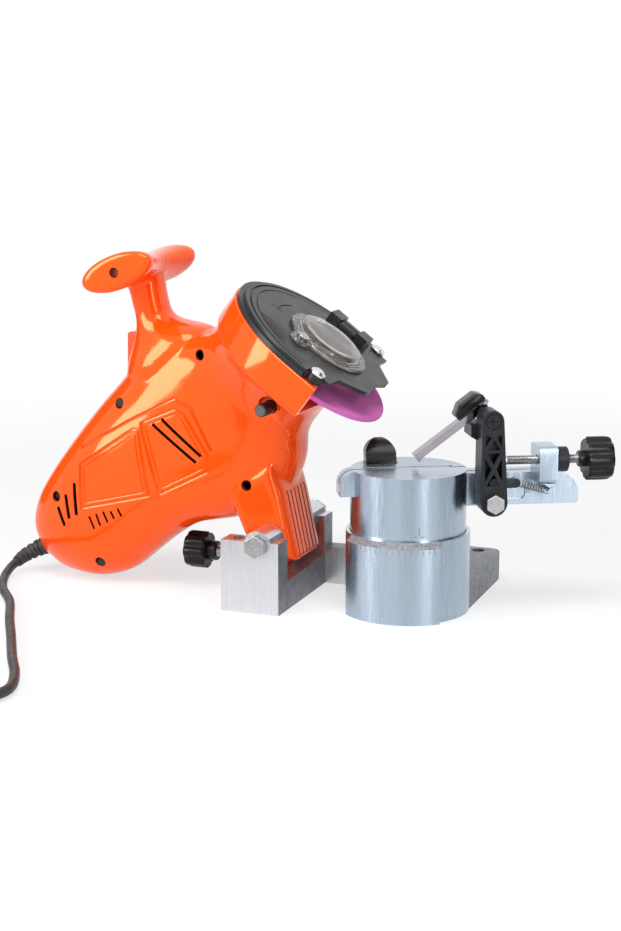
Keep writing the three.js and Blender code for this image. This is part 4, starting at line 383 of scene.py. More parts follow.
lead_line = through([lead_start, lead_start + end_aim * 6.0, *LEAD_POINTS,
                     coil_entry - way_in * 6.3, coil_entry], 4)
cord_line = lead_line + coil_line + tail_line
cord_mesh = swept("mains lead", cord_line, [CORD_RADIUS] * len(cord_line), 20)
mains_lead = finished("mains lead", cord_mesh, cord_black, ["cord_lead", "cord_coil"], corner=60)

PLUG_BODY = 34.6
tie_velcro = surface("tie strap", (0.02, 0.02, 0.022), (0.045, 0.045, 0.05), 900, 0.8, 0.12, 2600, 1e-4)
cord_tie = carried("cord_tie", tie_velcro, 0.0003)
plug_rubber = surface("plug rubber", (0.022, 0.022, 0.023), (0.03, 0.03, 0.031), 160, 0.5, 0.08, 1500, 5e-5)
pin_brass = surface("plug pin metal", (0.72, 0.7, 0.66), (0.6, 0.57, 0.5), 400, 0.28, 0.08, 1800, 2e-5,
                    metal=1.0)
plug = carried("plug", plug_rubber, 0.0007)
plug.data.materials.append(pin_brass)
plug_aim = Vector((way_out.x, way_out.y, 0.0)).normalized()
plug_face = (tail_line[-1] + plug_aim * PLUG_BODY) * 0.001
for face in plug.data.polygons:
    if (face.center - plug_face).dot(plug_aim) > 0.0:
        face.material_index = 1

# Base casting: one die-cast aluminium piece with the swivel cup, the clevis for the grinder head and
# the bolting flange behind. Its sawn and machined faces are satin, the cast ledge of the cup is rough.
cast_satin = surface("cast aluminium", (0.70, 0.72, 0.74), (0.64, 0.66, 0.69), 420, 0.30, 0.06, 1500, 4e-5,
                     metal=0.95, stretch=(1.0, 1.0, 0.05))
TURNED_METAL = {"metal": 0.96, "stretch": (1.0, 1.0, 0.06), "lathe": True, "Anisotropic": 0.75,
                "Anisotropic_Rotation": 0.25}
cast_turned = surface("turned casting", (0.42, 0.50, 0.59), (0.39, 0.47, 0.56), 420, 0.27, 0.05, 1500, 3e-5,
                      **TURNED_METAL)
cast_rough = surface("rough cast ledge", (0.36, 0.37, 0.39), (0.12, 0.12, 0.13), 700, 0.62, 0.15, 1300, 5e-4,
                     metal=0.7)
# Painted shade: a dark metal colour that stands in for the shade on the flange behind the cup and on the
# bracket's right-facing faces.
cast_painted_shade = surface("painted shade on casting", (0.26, 0.27, 0.29), (0.19, 0.20, 0.22), 160, 0.48, 0.12, 1100, 2e-4,
                    metal=0.85)
base_casting = carried("base_casting", cast_satin, 0.0006)
ROUGH_SLOT, PAINTED_SHADE_SLOT, TURNED_SLOT = 1, 2, 3
LEDGE_IN, LEDGE_OUT, LEDGE_LOW = 0.0395, 0.0445, 0.048
FLANGE_FRONT, FLANGE_TOP = 0.040, 0.030
CUP_IN, CUP_OUT = 0.0355, 0.0450
BRACKET_FRONT = -0.060
for material in (cast_rough, cast_painted_shade, cast_turned):
    base_casting.data.materials.append(material)
# The flange behind the cup and the bracket faces that turn to the right, away from the lamps, get the painted
# shade.
for face in base_casting.data.polygons:
    x, y, z = face.center
    reach = hypot(x, y)
    if LEDGE_IN < reach < LEDGE_OUT and z > LEDGE_LOW and face.normal.z > 0.3:
        face.material_index = ROUGH_SLOT
    elif y > FLANGE_FRONT and z < FLANGE_TOP:
        face.material_index = PAINTED_SHADE_SLOT
    elif CUP_IN < reach < CUP_OUT:
        face.material_index = TURNED_SLOT
    elif x < BRACKET_FRONT and face.normal.x > 0.8:
        face.material_index = PAINTED_SHADE_SLOT

engraved = surface("engraved mark", (0.22, 0.23, 0.25), (0.15, 0.15, 0.16), 900, 0.6, 0.1, 2000, 3e-5)


def on_drum(radius, angle, height, width, tall, thick=0.00025):
    """The eight corners of a thin mark that lies on a drum's side."""
    corners = []
    for r in (radius - thick, radius + thick * 0.4):
        for side, up in ((-1, -1), (1, -1), (1, 1), (-1, 1)):
            turn = angle + side * width / 2 / radius
            corners.append((r * cos(turn), r * sin(turn), height + up * tall / 2))
    return corners


BOX_FACES = [(0, 3, 2, 1), (4, 5, 6, 7), (0, 1, 5, 4), (1, 2, 6, 5), (2, 3, 7, 6), (3, 0, 4, 7)]


def boxes(name, corner_sets):
    points = [c for corners in corner_sets for c in corners]
    faces = [tuple(k + 8 * i for k in f) for i in range(len(corner_sets)) for f in BOX_FACES]
    mesh = bpy.data.meshes.new(name)
    mesh.from_pydata(points, [], faces)
    return mesh


BAND_RADIUS = 0.04395
DRUM_RADIUS = 0.03715
ZERO_TURN = radians(-62.0)
scale_marks = []
for step in range(-8, 9):
    tall = 0.0030 if step % 2 == 0 else 0.0018
    scale_marks.append(on_drum(BAND_RADIUS, radians(-90 + step * 5), 0.0478 - tall / 2, 0.0003, tall))
zero_marks = [on_drum(DRUM_RADIUS, ZERO_TURN, 0.0585, 0.0005, 0.0060),
              on_drum(DRUM_RADIUS, ZERO_TURN, 0.0552, 0.0062, 0.0006)]
for name, marks, body in (("angle scale", scale_marks, "base"), ("zero mark", zero_marks, "turntable")):
    finished(name, boxes(name, marks), engraved, body=body, smooth=False)

# Head pivot: a zinc-plated hexagon bolt of 8 mm through both ears of the clevis and the foot of the
# head, with a washer and a nut on the back ear.
zinc = surface("zinc plate", (0.50, 0.51, 0.52), (0.40, 0.40, 0.40), 350, 0.3, 0.1, 1600, 3e-5, metal=1.0)
carried("pivot_bolt pivot_washer pivot_nut", zinc, 0.0005, corner=32)

# Depth screw: a threaded rod through the clevis wall that sets how far the head tips, with a lock nut
# and a black eight-lobed star knob moulded on it.
knob_black = surface("knob plastic", (0.007, 0.007, 0.008), (0.011, 0.011, 0.012), 220, 0.24, 0.06, 1300,
                     2e-5, Specular_IOR_Level=0.22)


def threaded(name, start, aim, length, radius, pitch, thread_from, thread_to, sides=28):
    """A rod with a rolled screw thread between two points of its length. Sizes are in millimetres."""
    aim = Vector(aim).normalized()
    guide = Vector((0.0, 0.0, 1.0)) if abs(aim.z) < 0.9 else Vector((0.0, 1.0, 0.0))
    across = (guide - aim * guide.dot(aim)).normalized()
    other = aim.cross(across)
    steps = max(8, int(length / pitch * 6))
    rings = []
    for i in range(steps + 1):
        run = length * i / steps
        ring = []
        for k in range(sides):
            turn = k / sides
            phase = (run / pitch - turn) % 1.0
            cut = 0.55 * pitch * (1.0 - abs(2.0 * phase - 1.0))
            if not thread_from <= run <= thread_to:
                cut = 0.0
            if i in (0, steps):
                cut = 0.7 * pitch
            ring.append((Vector(start) + aim * run + (
                across * cos(turn * 2 * pi) + other * sin(turn * 2 * pi))
                * (radius - cut)) * 0.001)
        rings.append(ring)
    return lofted(name, rings)


def star_knob(name, place, radius, length, lobes=8):
    """A lobed knob along its own Z from 0 to length, domed on top, in millimetres, set by place."""
    profile = [(0.0, 0.90, 1.0), (0.08, 1.0, 1.0), (0.3, 1.0, 1.0), (0.7, 1.0, 1.0), (0.88, 0.985, 0.9),
               (0.97, 0.93, 0.6), (1.0, 0.84, 0.3), (1.0, 0.55, 0.0), (0.93, 0.50, 0.0)]
    sides = lobes * 12
    rings = []
    for height, share, wave_share in profile:
        ring = []
        for k in range(sides):
            angle = 2 * pi * k / sides
            wave = (1 + cos(angle * lobes)) / 2
            reach = radius * share * (1 - 0.14 * wave_share * (1 - wave) ** 2)
            ring.append(place @ Vector((reach * cos(angle), reach * sin(angle), length * height)))
        rings.append(ring)
    return lofted(name, rings)


def circle(radius, height, sides, place):
    """Points round place's Z axis."""
    return [place @ Vector((radius * cos(2 * pi * k / sides),
                            radius * sin(2 * pi * k / sides), height)) for k in range(sides)]


def collar(place, radius, low, high, sides=40, lip=0.5):
    """A turned collar along place's Z, with eased rims."""
    return lofted("collar", [circle(r, z, sides, place) for r, z in (
        (radius - lip, low), (radius, low + lip), (radius, high - lip), (radius - lip, high))])


def together(name, *meshes):
    """Several closed meshes as one."""
    work = bmesh.new()
    for mesh in meshes:
        work.from_mesh(mesh)
    joined = bpy.data.meshes.new(name)
    work.to_mesh(joined)
    work.free()
    return joined


MM = Matrix.Scale(0.001, 4)
DEPTH_HEIGHT = 25.5
carried("depth_lock_nut", zinc, corner=32)
depth_rod = threaded("depth screw", (-148.5, 0, DEPTH_HEIGHT), (1, 0, 0), length=48.6, radius=4.0, pitch=1.25,
                     thread_from=13.0, thread_to=47.0)
finished("depth screw", depth_rod, zinc, ["depth_screw"], corner=25)
depth_place, depth_hub = (MM @ Matrix.Translation((-139.5, 0, DEPTH_HEIGHT)) @ Matrix.Rotation(turn, 4, "Y")
                          for turn in (-pi / 2, pi / 2))
finished("depth knob", together("depth knob", star_knob("knob", depth_place, radius=12.6, length=15.0),
                                collar(depth_hub, 6.6, -1.0, 6.5)), knob_black, ["depth_knob"])

# Vise: a turned aluminium drum that swivels in the cup, with the chain slot across its top and a cast
# arm. A zinc jaw behind the slot is pushed by a black cam lever on a cross pin.
VISE_TURN = radians(28.0)
VISE = Matrix.Rotation(VISE_TURN, 4, "Z")
drum_satin = surface("turned aluminium", (0.42, 0.50, 0.59), (0.39, 0.47, 0.56), 420, 0.24, 0.05, 1700, 3e-5,
                     **TURNED_METAL)
carried("turntable", drum_satin, 0.0006)
carried("turntable_bolt turntable_nut clamp_pin stop_bolt", zinc, corner=32)
carried("jaw_plate", zinc, 0.0003)


def settled(piece):
    """Applies a piece's modifiers to its mesh."""
    bpy.context.view_layer.update()
    graph = bpy.context.evaluated_depsgraph_get()
    mesh = bpy.data.meshes.new_from_object(piece.evaluated_get(graph))
    piece.modifiers.clear()
    piece.data = mesh
    return piece


def rough_piece(name, material, *meshes):
    """Closed meshes as one loose piece, which is cut, joined or used as a cutter."""
    mesh = together(name, *meshes)
    mesh.materials.append(material)
    return placed(name, mesh)


def taken(piece):
    """The mesh of a loose piece, whose object goes."""
    mesh = piece.data
    bpy.data.objects.remove(piece)
    return mesh


def changed_by(kind, piece, *tools):
    """Joins or cuts the piece with each tool in turn, and takes the tools away."""
    for tool in tools:
        step = piece.modifiers.new(kind, "BOOLEAN")
        step.operation = kind
        step.object = tool
        step.solver = "MANIFOLD"
        step.material_mode = "TRANSFER"
    settled(piece)
    for tool in tools:
        bpy.data.meshes.remove(taken(tool))
    return piece


def drawn(outline, depths, place):
    """An outline in x and z, drawn through a range of y, in millimetres, set by place."""
    return lofted("drawn", [[(MM @ place) @ Vector((x, y, z)) for x, z in outline] for y in depths])


paddle = [(-24.2, 76), *((-14 - 10.2 * cos(pi * k / 14), 96.4 + 9.8 * sin(pi * k / 14))
                         for k in range(15)), (-3.8, 76)]
clamp_form = changed_by("INTERSECT", rough_piece("lever form", knob_black, from_cad("clamp_lever")),
                        rough_piece("lever round", knob_black, drawn(paddle, (10, 42), VISE)))
finished("clamp lever", taken(clamp_form), knob_black, ["clamp_lever"], 0.0016, corner=40)

# Stop adjuster: a screw of 6 mm in the arm's lug, with a black lock ring and a black star knob. It
# moves the stop lever to bring each cutter of the chain to the wheel.
lever_black = surface("lever plastic", (0.010, 0.012, 0.015), (0.017, 0.019, 0.023), 200, 0.36, 0.07, 1500,
                      3e-5, Specular_IOR_Level=0.22)
ADJUST_SIDE, ADJUST_HEIGHT = -18.0, 98.7
adjust_rod = threaded("adjuster screw", VISE @ Vector((57.2, ADJUST_SIDE, ADJUST_HEIGHT)),
                      VISE @ Vector((1, 0, 0)), length=62.8, radius=3.0, pitch=1.0, thread_from=2.0,
                      thread_to=50.0, sides=24)
finished("adjuster screw", adjust_rod, zinc, ["adjuster_screw"], corner=25)
carried("adjuster_lock_ring", lever_black, 0.0008)
adjust_place = (MM @ VISE @ Matrix.Translation((110.0, ADJUST_SIDE, ADJUST_HEIGHT))
                @ Matrix.Rotation(pi / 2, 4, "Y"))
finished("adjuster knob", together("adjuster knob", star_knob("knob", adjust_place, radius=14.0, length=16.5),
                                   collar(adjust_place, 5.2, -4.6, 1.0)), knob_black, ["adjuster_knob"])

# Stop lever and pawl: a black ribbed lever swings on a bolt in the arm and is drawn back by a coil
# spring. The bright folded pawl on top of it drops behind a cutter and is lifted by its thumb grip.


def tipped(place, *spot):
    """A place at a spot of another, with its Z along the other's Y."""
    return place @ Matrix.Translation(spot) @ Matrix.Rotation(-pi / 2, 4, "X")


def turned(name, profile, sides, place):
    """A closed turned mesh from a profile of (radius, height) in millimetres, set by place."""
    rings = [circle(radius, height, sides if radius else 1, MM @ place) for radius, height in profile]
    return lofted(name, rings, joined=len(rings[0]) > 1)


def cut(piece, material, *meshes):
    """Cuts closed meshes out of the piece. The faces that this leaves have the material."""
    return changed_by("DIFFERENCE", piece, rough_piece("cutter", material, *meshes))


TRUSS = [[(44.6, 107), (53, 107), (48.9, 113.5)], [(43.5, 109), (47.4, 115), (43.5, 116.8)],
         [(54, 109), (53.6, 116.8), (50.3, 115)], [(45.6, 124.5), (50.8, 124.5), (50.8, 125.5), (45.6, 125.5)],
         [(47.7, 122.4), (48.7, 122.4), (48.7, 127.6), (47.7, 127.6)]]
TRUSS_DEPTHS = (-23.6, -23.6, -23.6, -26.1, -26.15)
stop_ring = turned("ring", [(4.4, -1), (5.2, -1), (5.2, 0.9), (4.4, 0.9)], 40, tipped(VISE, 48.2, -27.0, 125.0))
stop_form = cut(rough_piece("stop form", lever_black, from_cad("stop_lever")), lever_black, stop_ring,
                *[drawn(outline, (-29.0, low), VISE) for outline, low in zip(TRUSS, TRUSS_DEPTHS)])
finished("stop lever", taken(stop_form), lever_black, ["stop_lever"], 0.0005)
bright_fold = surface("bright folded strip", (0.40, 0.37, 0.41), (0.33, 0.31, 0.34), 120, 0.14, 0.05, 900,
                      2e-5, metal=1.0)
spring_steel = surface("spring steel", (0.26, 0.245, 0.22), (0.19, 0.18, 0.16), 350, 0.34, 0.08, 1600, 2e-5,
                       metal=1.0)
carried("stop_pawl", bright_fold, 0.0003)
carried("pawl_pin", zinc, 0.0003)
carried("pawl_grip", knob_black, 0.0009, corner=30)
carried("tension_spring", spring_steel, 0.0)

# Grinding wheel: a pink vitrified abrasive disc of 108 mm, clamped between two steel flanges by a
# hexagon nut on the spindle. Its grit shows.
HEAD_LEAN = radians(37.4)
HEAD = Matrix.Translation((-64.0, 0.0, 154.5)) @ Matrix.Rotation(HEAD_LEAN, 4, "Y")
abrasive = surface("pink abrasive", (0.84, 0.20, 0.60), (0.56, 0.11, 0.38), 1500, 0.92, 0.06, 2600, 4e-4)
wheel_profile = [(11.1, -1.6), (30.0, -1.6), (53.2, -1.6), (53.8, -1.0), (54.0, 0.0), (53.8, 1.0),
                 (53.2, 1.6), (30.0, 1.6), (11.1, 1.6)]
finished("grinding wheel", turned("grinding wheel", wheel_profile, 120, HEAD), abrasive, ["grinding_wheel"])
bright = surface("ground steel", (0.78, 0.79, 0.8), (0.66, 0.67, 0.69), 200, 0.2, 0.07, 1400, 2e-5, metal=1.0)
carried("inner_flange outer_flange wheel_nut", zinc, corner=32)

# Motor: a small universal motor in the housing. Its spindle runs in two ball bearings and carries the
# wound armature, the commutator and the cooling fan, inside a laminated stator with two carbon brushes.
# The switch behind the trigger is a black box of its own.
laminated = surface("laminated iron", (0.28, 0.28, 0.29), (0.17, 0.16, 0.16), 300, 0.45, 0.1, 2600, 1e-4,
                    metal=0.9, stretch=(0.2, 0.2, 1.0))
enamelled = surface("enamelled copper", (0.62, 0.24, 0.09), (0.4, 0.13, 0.04), 800, 0.35, 0.1, 2400, 2e-4,
                    metal=0.8)
contact_brass = surface("contact brass", (0.78, 0.58, 0.25), (0.6, 0.42, 0.16), 500, 0.32, 0.1, 1600, 3e-5,
                        metal=1.0)
pressed_carbon = surface("pressed carbon", (0.03, 0.03, 0.032), (0.015, 0.015, 0.016), 1200, 0.7, 0.1, 2400,
                         1e-4)
fan_black = surface("fan plastic", (0.025, 0.025, 0.027), (0.04, 0.04, 0.042), 260, 0.5, 0.1, 1500, 5e-5)
for metal, nodes in (
        (bright, "spindle front_bearing rear_bearing"), (fan_black, "cooling_fan switch_body"),
        (laminated, "armature_core stator"), (enamelled, "armature_winding"),
        (contact_brass, "commutator brush_holder_front brush_holder_rear"),
        (pressed_carbon, "carbon_brush_front carbon_brush_rear")):
    carried(nodes, metal, 0.0003)

# Motor housing: two moulded orange shells, screwed together from the front. They form the wheel tray,
# the round motor lobe, the neck with its cross handle and the foot that turns on the pivot bolt.
orange = surface("orange shell", (0.94, 0.080, 0.004), (0.90, 0.070, 0.003), 45, 0.10, 0.02, 600, 8e-6,
                 Specular_IOR_Level=0.85, Specular_Tint=(1.0, 0.62, 0.28, 1.0))
# Painted shade: the walls of the screw and handle-end recesses are a dark orange that stands in for the shade
# inside them.
recess_painted_shade = surface("recess painted shade", (0.30, 0.030, 0.004), (0.20, 0.020, 0.003), 300, 0.5, 0.1, 900, 5e-5)
vent_dark = surface("vent shadow", (0.035, 0.009, 0.004), (0.02, 0.006, 0.004), 300, 0.8, 0.1, 900, 1e-4)
LOBE = [
    (-12, -62, 22, 52), (-18, -65, 21, 46), (-26, -68, 20, 40), (-40, -80, 22, 33), (-55, -92, 32, 31),
    (-75, -97, 37, 31), (-95, -98, 34, 31), (-115, -100, 20, 31), (-135, -101, 3, 31), (-155, -101.6, -5, 30),
    (-175, -101.5, -10, 29), (-195, -100, -15, 27), (-212, -95, -27, 22), (-223, -87, -42, 15),
    (-230, -75, -54, 7),
]
NECK = [
    ((-140, -36), (-124, -16), 13), ((-122, -49), (-107, -33), 13), ((-110, -60.6), (-95, -37.7), 15),
    ((-97, -88), (-68, -27), 25), ((-82, -98), (-50, -44), 25),
]


def smooth_rows(rows, per_span):
    """Rows of numbers with smooth rows between them."""
    line = []
    for i in range(len(rows) - 1):
        p0, p1, p2, p3 = (rows[max(0, min(len(rows) - 1, k))] for k in (i - 1, i, i + 1, i + 2))
        for k in range(per_span):
            t = k / per_span
            line.append([0.5 * (2 * b + (c - a) * t + (2 * a - 5 * b + 4 * c - d) * t * t
                                + (3 * b - a - 3 * c + d) * t**3) for a, b, c, d in zip(p0, p1, p2, p3)])
    line.append(list(rows[-1]))
    return line


def oval_rings(rows, sides, inset=0.0, power=2.6):
    """Superellipse rings in the head's frame from rows of left x, left z, right x, right z, half depth."""
    rings = []
    for lx, lz, rx, rz, half in rows:
        across = Vector((rx - lx, 0, rz - lz))
        wide = across.length / 2 - inset
        across.normalize()
        centre = Vector(((lx + rx) / 2, 0, (lz + rz) / 2))
        ring = []
        for k in range(sides):
            angle = 2 * pi * (k + 0.5) / sides
            c, s = cos(angle), sin(angle)
            u = copysign(abs(c) ** (2 / power), c) * wide
            v = copysign(abs(s) ** (2 / power), s) * (half - inset)
            ring.append((MM @ HEAD) @ (centre + across * u + Vector((0, v, 0))))
        rings.append(ring)
    return rings


lobe_rows = smooth_rows([(left, n, right, n, half) for n, left, right, half in LOBE], 4)
neck_rows = smooth_rows([(*left, *right, half) for left, right, half in NECK], 6)
lobe_mesh = lofted("lobe", oval_rings(lobe_rows, 56))
neck_mesh = lofted("neck", oval_rings(neck_rows, 44))

HANDLE_HALF = [(0.2, 0.79), (0.5, 0.87), (0.80, 0.985), (0.92, 1.0), (0.96, 0.97), (0.99, 0.90), (1.0, 0.80)]
HANDLE_ROWS = [(-share, size) for share, size in HANDLE_HALF[::-1]] + [(0.0, 0.78)] + HANDLE_HALF
HANDLE_LEAN = radians(57.6)
HANDLE_X, HANDLE_Z = -133.8, -28.5
HANDLE_WIDE, HANDLE_THICK = 26.4, 11.5


def handle_rings(sides, half_length, wall=0.0):
    """Oval rings along the cross handle, smaller by a wall."""
    rings = []
    for share, size in HANDLE_ROWS:
        ring = []
        for k in range(sides):
            angle = 2 * pi * k / sides
            u, v = (HANDLE_WIDE * size - wall) * cos(angle), (HANDLE_THICK * size - wall) * sin(angle)
            ring.append((MM @ HEAD) @ Vector((
                HANDLE_X + u * cos(HANDLE_LEAN) - v * sin(HANDLE_LEAN), half_length * share,
                HANDLE_Z + u * sin(HANDLE_LEAN) + v * cos(HANDLE_LEAN))))
        rings.append(ring)
    return rings


FOOT = [(-67.5, 29), (-76.5, 71), (-84, 95), (-118, 75), (-104, 43), (-97, 38), (-92, 29)]
FOOT_STEPS = [(-27.0, 5.0), (-25.4, 2.6), (-22.5, 1.1), (-17.0, 0.0), (17.0, 0.0), (22.5, 1.1), (25.4, 2.6),
              (27.0, 5.0)]


def inset_outline(points, distance):
    """The outline moved inwards by a distance. It runs anticlockwise."""
    moved = []
    for i in range(len(points)):
        a, b, c = Vector(points[i - 1]), Vector(points[i]), Vector(points[(i + 1) % len(points)])
        first, second = (b - a).normalized(), (c - b).normalized()
        n1, n2 = Vector((-first.y, first.x)), Vector((-second.y, second.x))
        bisector = (n1 + n2).normalized()
        moved.append(b + bisector * distance / max(0.3, bisector.dot(n1)))
    return moved

def block(place, low, high):
    """A box between two corners, in millimetres, set by place."""
    return boxes("block", [[(MM @ place) @ Vector((x, y, z)) for z in (low[2], high[2]) for x, y in (
        (low[0], low[1]), (high[0], low[1]), (high[0], high[1]), (low[0], high[1]))]])


UPRIGHT = Matrix.Identity(4)
foot_mesh = lofted("foot", [[Vector((x, y, z)) * 0.001 for x, z in inset_outline(FOOT, inset)]
                            for y, inset in FOOT_STEPS])
EXIT_PLACE = Matrix.Translation(EXIT) @ Vector((0, 0, 1)).rotation_difference(EXIT_AIM).to_matrix().to_4x4()


def one_skin(name, voxel, rounds, material, *meshes):
    """One closed skin round several closed meshes, with softened joins."""
    piece = rough_piece(name, material, *meshes)
    remesh = piece.modifiers.new("one skin", "REMESH")
    remesh.mode = "VOXEL"
    remesh.voxel_size = voxel
    if rounds:
        relax = piece.modifiers.new("soft joins", "SMOOTH")
        relax.iterations = rounds
        relax.factor = 0.5
    settled(piece)
    piece.data.materials.clear()
    piece.data.materials.append(material)
    return piece


shell = one_skin("motor housing", 0.0013, 8, orange, lobe_mesh, neck_mesh,
                 lofted("handle", handle_rings(48, 37.4)), foot_mesh,
                 block(UPRIGHT, (-92, -17, 19.7), (-84, 17, 34.0)),
                 collar(MM @ EXIT_PLACE, 9.7, -14.0, 0.0, 36, 1.0))


def rod(radius, low, high, sides, place):
    """A plain rod along place's Z, in millimetres."""
    return turned("rod", [(0, low), (radius, low), (radius, high), (0, high)], sides, place)


def surface_y(x, z, side):
    """Where the housing's side lies at a place in the head's frame, in millimetres."""
    start = (MM @ HEAD) @ Vector((x, side * 80.0, z))
    hit, spot, *_ = shell.ray_cast(start, Vector((0, -side, 0)))
    return spot.y * 1000 if hit else side * 31.0


def groove(points, side, radius=1.3, closed=True):
    """A round bead that follows the housing's side along a line, for pressing a groove into it."""
    ends = points + [points[0]] if closed else points
    line = []
    for a, b in zip(ends, ends[1:]):
        pieces = max(2, int(dist(a, b) / 2.5))
        line += [(a[0] + (b[0] - a[0]) * k / pieces, a[1] + (b[1] - a[1]) * k / pieces) for k in range(pieces)]
    if not closed:
        line.append(ends[-1])
    path = [HEAD @ Vector((x, surface_y(x, z, side) + side * 0.25, z)) for x, z in line]
    rings = []
    for i, spot in enumerate(path):
        after = path[(i + 1) % len(path)] if closed or i + 1 < len(path) else path[i]
        before = path[i - 1] if closed or i else path[0]
        aim = (after - before).normalized()
        out = Vector((0.0, side, 0.0))
        out = (out - aim * out.dot(aim)).normalized()
        across = aim.cross(out)
        rings.append([(spot + (out * cos(turn) + across * sin(turn)) * radius) * 0.001
                      for turn in (pi * k / 4 for k in range(8))])
    return lofted("groove", rings, joined=closed)


def vent(a, b, width, side, depth=3.2):
    """A round-ended slot along a line in the housing's side."""
    a, b = Vector((a[0], 0, a[1])), Vector((b[0], 0, b[1]))
    aim = (b - a).normalized()
    across = Vector((-aim.z, 0, aim.x)) * width / 2
    outline = []
    for centre, start in ((b, -1), (a, 1)):
        for k in range(7):
            turn = pi * k / 6
            outline.append(centre - aim * start * sin(turn) * width / 2 - across * start * cos(turn))
    middle = (a + b) / 2
    skin = surface_y(middle.x, middle.z, side)
    near, far = skin + side * 6.0, skin - side * depth
    rings = [[(MM @ HEAD) @ (p + Vector((0, y, 0))) for p in outline] for y in (near, far)]
    return lofted("vent", rings)


WINDOW_REAR = [(-82, -152), (-66, -106), (-62, -104), (-30, -134), (-63, -175)]
WINDOW_FRONT = [(-64, -99), (-51, -76), (-44, -73), (-14, -84), (-8, -93), (-25, -128)]
SHOULDER = [(-89, -144), (-71, -102), (-55, -70), (-42, -67), (-14, -80)]
SLOTS = [((-56, -93.5), (-18.7, -93.2)), ((-53, -86.5), (-18.5, -87.5))]
LONG_VENTS = [((-77, -166), (-64, -181)), ((-77.5, -177), (-67, -187)), ((-77, -188), (-67, -194))]
SMALL_VENTS = [((-55, -176), (-48, -180)), ((-52, -171), (-46, -175)), ((-49, -166), (-43, -169.5)),
               ((-45, -162), (-41, -164)), ((-42, -157), (-38, -159))]
SCREWS = [(-57.7, -35), (-85.3, -101.3), (-32.3, -199), (-83.3, -183.2)]
pressed = []
for side in (-1, 1):
    for window in (WINDOW_REAR, WINDOW_FRONT):
        pressed += [groove(window, side), groove(inset_outline(window, -3.2), side, 0.8)]
    pressed.append(groove(SHOULDER, side, 1.3, False))
slots = [vent(a, b, width, side) for side in (-1, 1)
         for lines, width in ((SLOTS, 2.2), (LONG_VENTS, 2.6), (SMALL_VENTS, 1.6)) for a, b in lines]
recesses = [rod(radius, low, high, 24, tipped(HEAD, x, 0, z)) for radius, x, z, low, high in (
    *[(3.6, x, z, -60.0, -20.0) for x, z in SCREWS], (3.6, 17.1, -83.3, -60.0, -21.0),
    (3.4, HANDLE_X, HANDLE_Z, -60.0, -34.5), (3.4, HANDLE_X, HANDLE_Z, 34.5, 60.0))]
rib_gaps = boxes("rib gaps", [[((x + lean) / 1000, (y + w) / 1000, z / 1000)
                               for z, lean in ((31.0, 0.0), (74.0, -9.2))
                               for x, w in ((-69.9, -1.0), (-55.0, -1.0), (-55.0, 1.0), (-69.9, 1.0))]
                              for y in (-15.0, -9.0, -3.0, 3.0, 9.0, 15.0)])
# Painted shade: the gaps between the ribs of the foot are a darker orange that stands in for the shade between
# them.
rib_painted_shade = surface("rib gap painted shade", (0.62, 0.075, 0.006), (0.52, 0.06, 0.005), 300, 0.5, 0.1, 900, 5e-5)
for material, meshes in (
        (orange, pressed), (vent_dark, slots), (recess_painted_shade, recesses), (rib_painted_shade, [rib_gaps])):
    cut(shell, material, *meshes)

# Wheel tray: the orange rim round the back and sides of the wheel, moulded with the housing. Its
# bottom edge is well rounded and two pillars in it take the guard bolts.
TRAY_END, TRAY_CENTRE = 23.0, -2.0
TRAY_RADIUS, TRAY_FLOOR, TRAY_ROUND = 66.5, -12.0, 3.5


def tray_outline(radius, end, steps=72):
    line = [(end, -radius), (end, radius)]
    for k in range(steps + 1):
        angle = pi / 2 + pi * k / steps
        line.append((TRAY_CENTRE + radius * cos(angle), radius * sin(angle)))
    return line


def head_rings(layers):
    """Rings in the head's frame from (outline, height) layers, for a loft."""
    return [[(MM @ HEAD) @ Vector((x, y, height)) for x, y in outline] for outline, height in layers]


tray_layers = []
for k in range(5):
    turn = pi / 2 * k / 4
    inset = TRAY_ROUND * (1 - sin(turn))
    tray_layers.append((tray_outline(TRAY_RADIUS - inset, TRAY_END - inset),
                        TRAY_FLOOR + TRAY_ROUND * (1 - cos(turn))))
tray_layers += [(tray_outline(TRAY_RADIUS, TRAY_END), 10.5),
                (tray_outline(TRAY_RADIUS - 0.5, TRAY_END - 0.5), 11.0)]
tray_skin = rough_piece("tray skin", orange, lofted("tray skin", head_rings(tray_layers)))
hollow_layers = [(tray_outline(radius, TRAY_END + 9), height)
                 for radius, height in ((61.8, -8.8), (63.3, -7.3), (63.3, 10.4), (64.6, 12.4))]
BOLT_PLACES = [HEAD @ Matrix.Translation((16.5, side * 57.5, 0)) for side in (-1, 1)]
cut(tray_skin, orange, lofted("tray hollow", head_rings(hollow_layers)))
changed_by("UNION", tray_skin,
           rough_piece("pillars", orange, *[rod(5, -10.0, 11.0, 32, p) for p in BOLT_PLACES]))
cut(tray_skin, orange, *[rod(3.3, -8.8, 14.0, 24, p) for p in BOLT_PLACES])
changed_by("UNION", shell, tray_skin)

# Inside of the housing: hollow round the motor, down the neck and through the grip, with openings for
# the spindle, the trigger, the lock button, the pivot bolt and the cord.
WALL = 2.6
LOCK_PLACE = tipped(HEAD, 0, 0, -29)
inner_rows = [row for row in lobe_rows if -221 < row[1] < -16]
hollow = one_skin("hollow", 0.0022, 0, vent_dark, lofted("lobe hollow", oval_rings(inner_rows, 36, WALL)),
                  lofted("neck hollow", oval_rings(neck_rows, 28, WALL)),
                  lofted("grip hollow", handle_rings(32, 31.0, WALL)))
cut(hollow, orange, rod(16.0, -60, -22.6, 56, LOCK_PLACE))
changed_by("DIFFERENCE", shell, hollow)


def trigger_place(depth, length, y=0.0):
    """A place in the head's frame from the depth into the grip and the length along it."""
    turn = radians(36.0)
    return Vector((-106.4 + depth * cos(turn) - length * sin(turn), y,
                   -77.0 + depth * sin(turn) + length * cos(turn)))


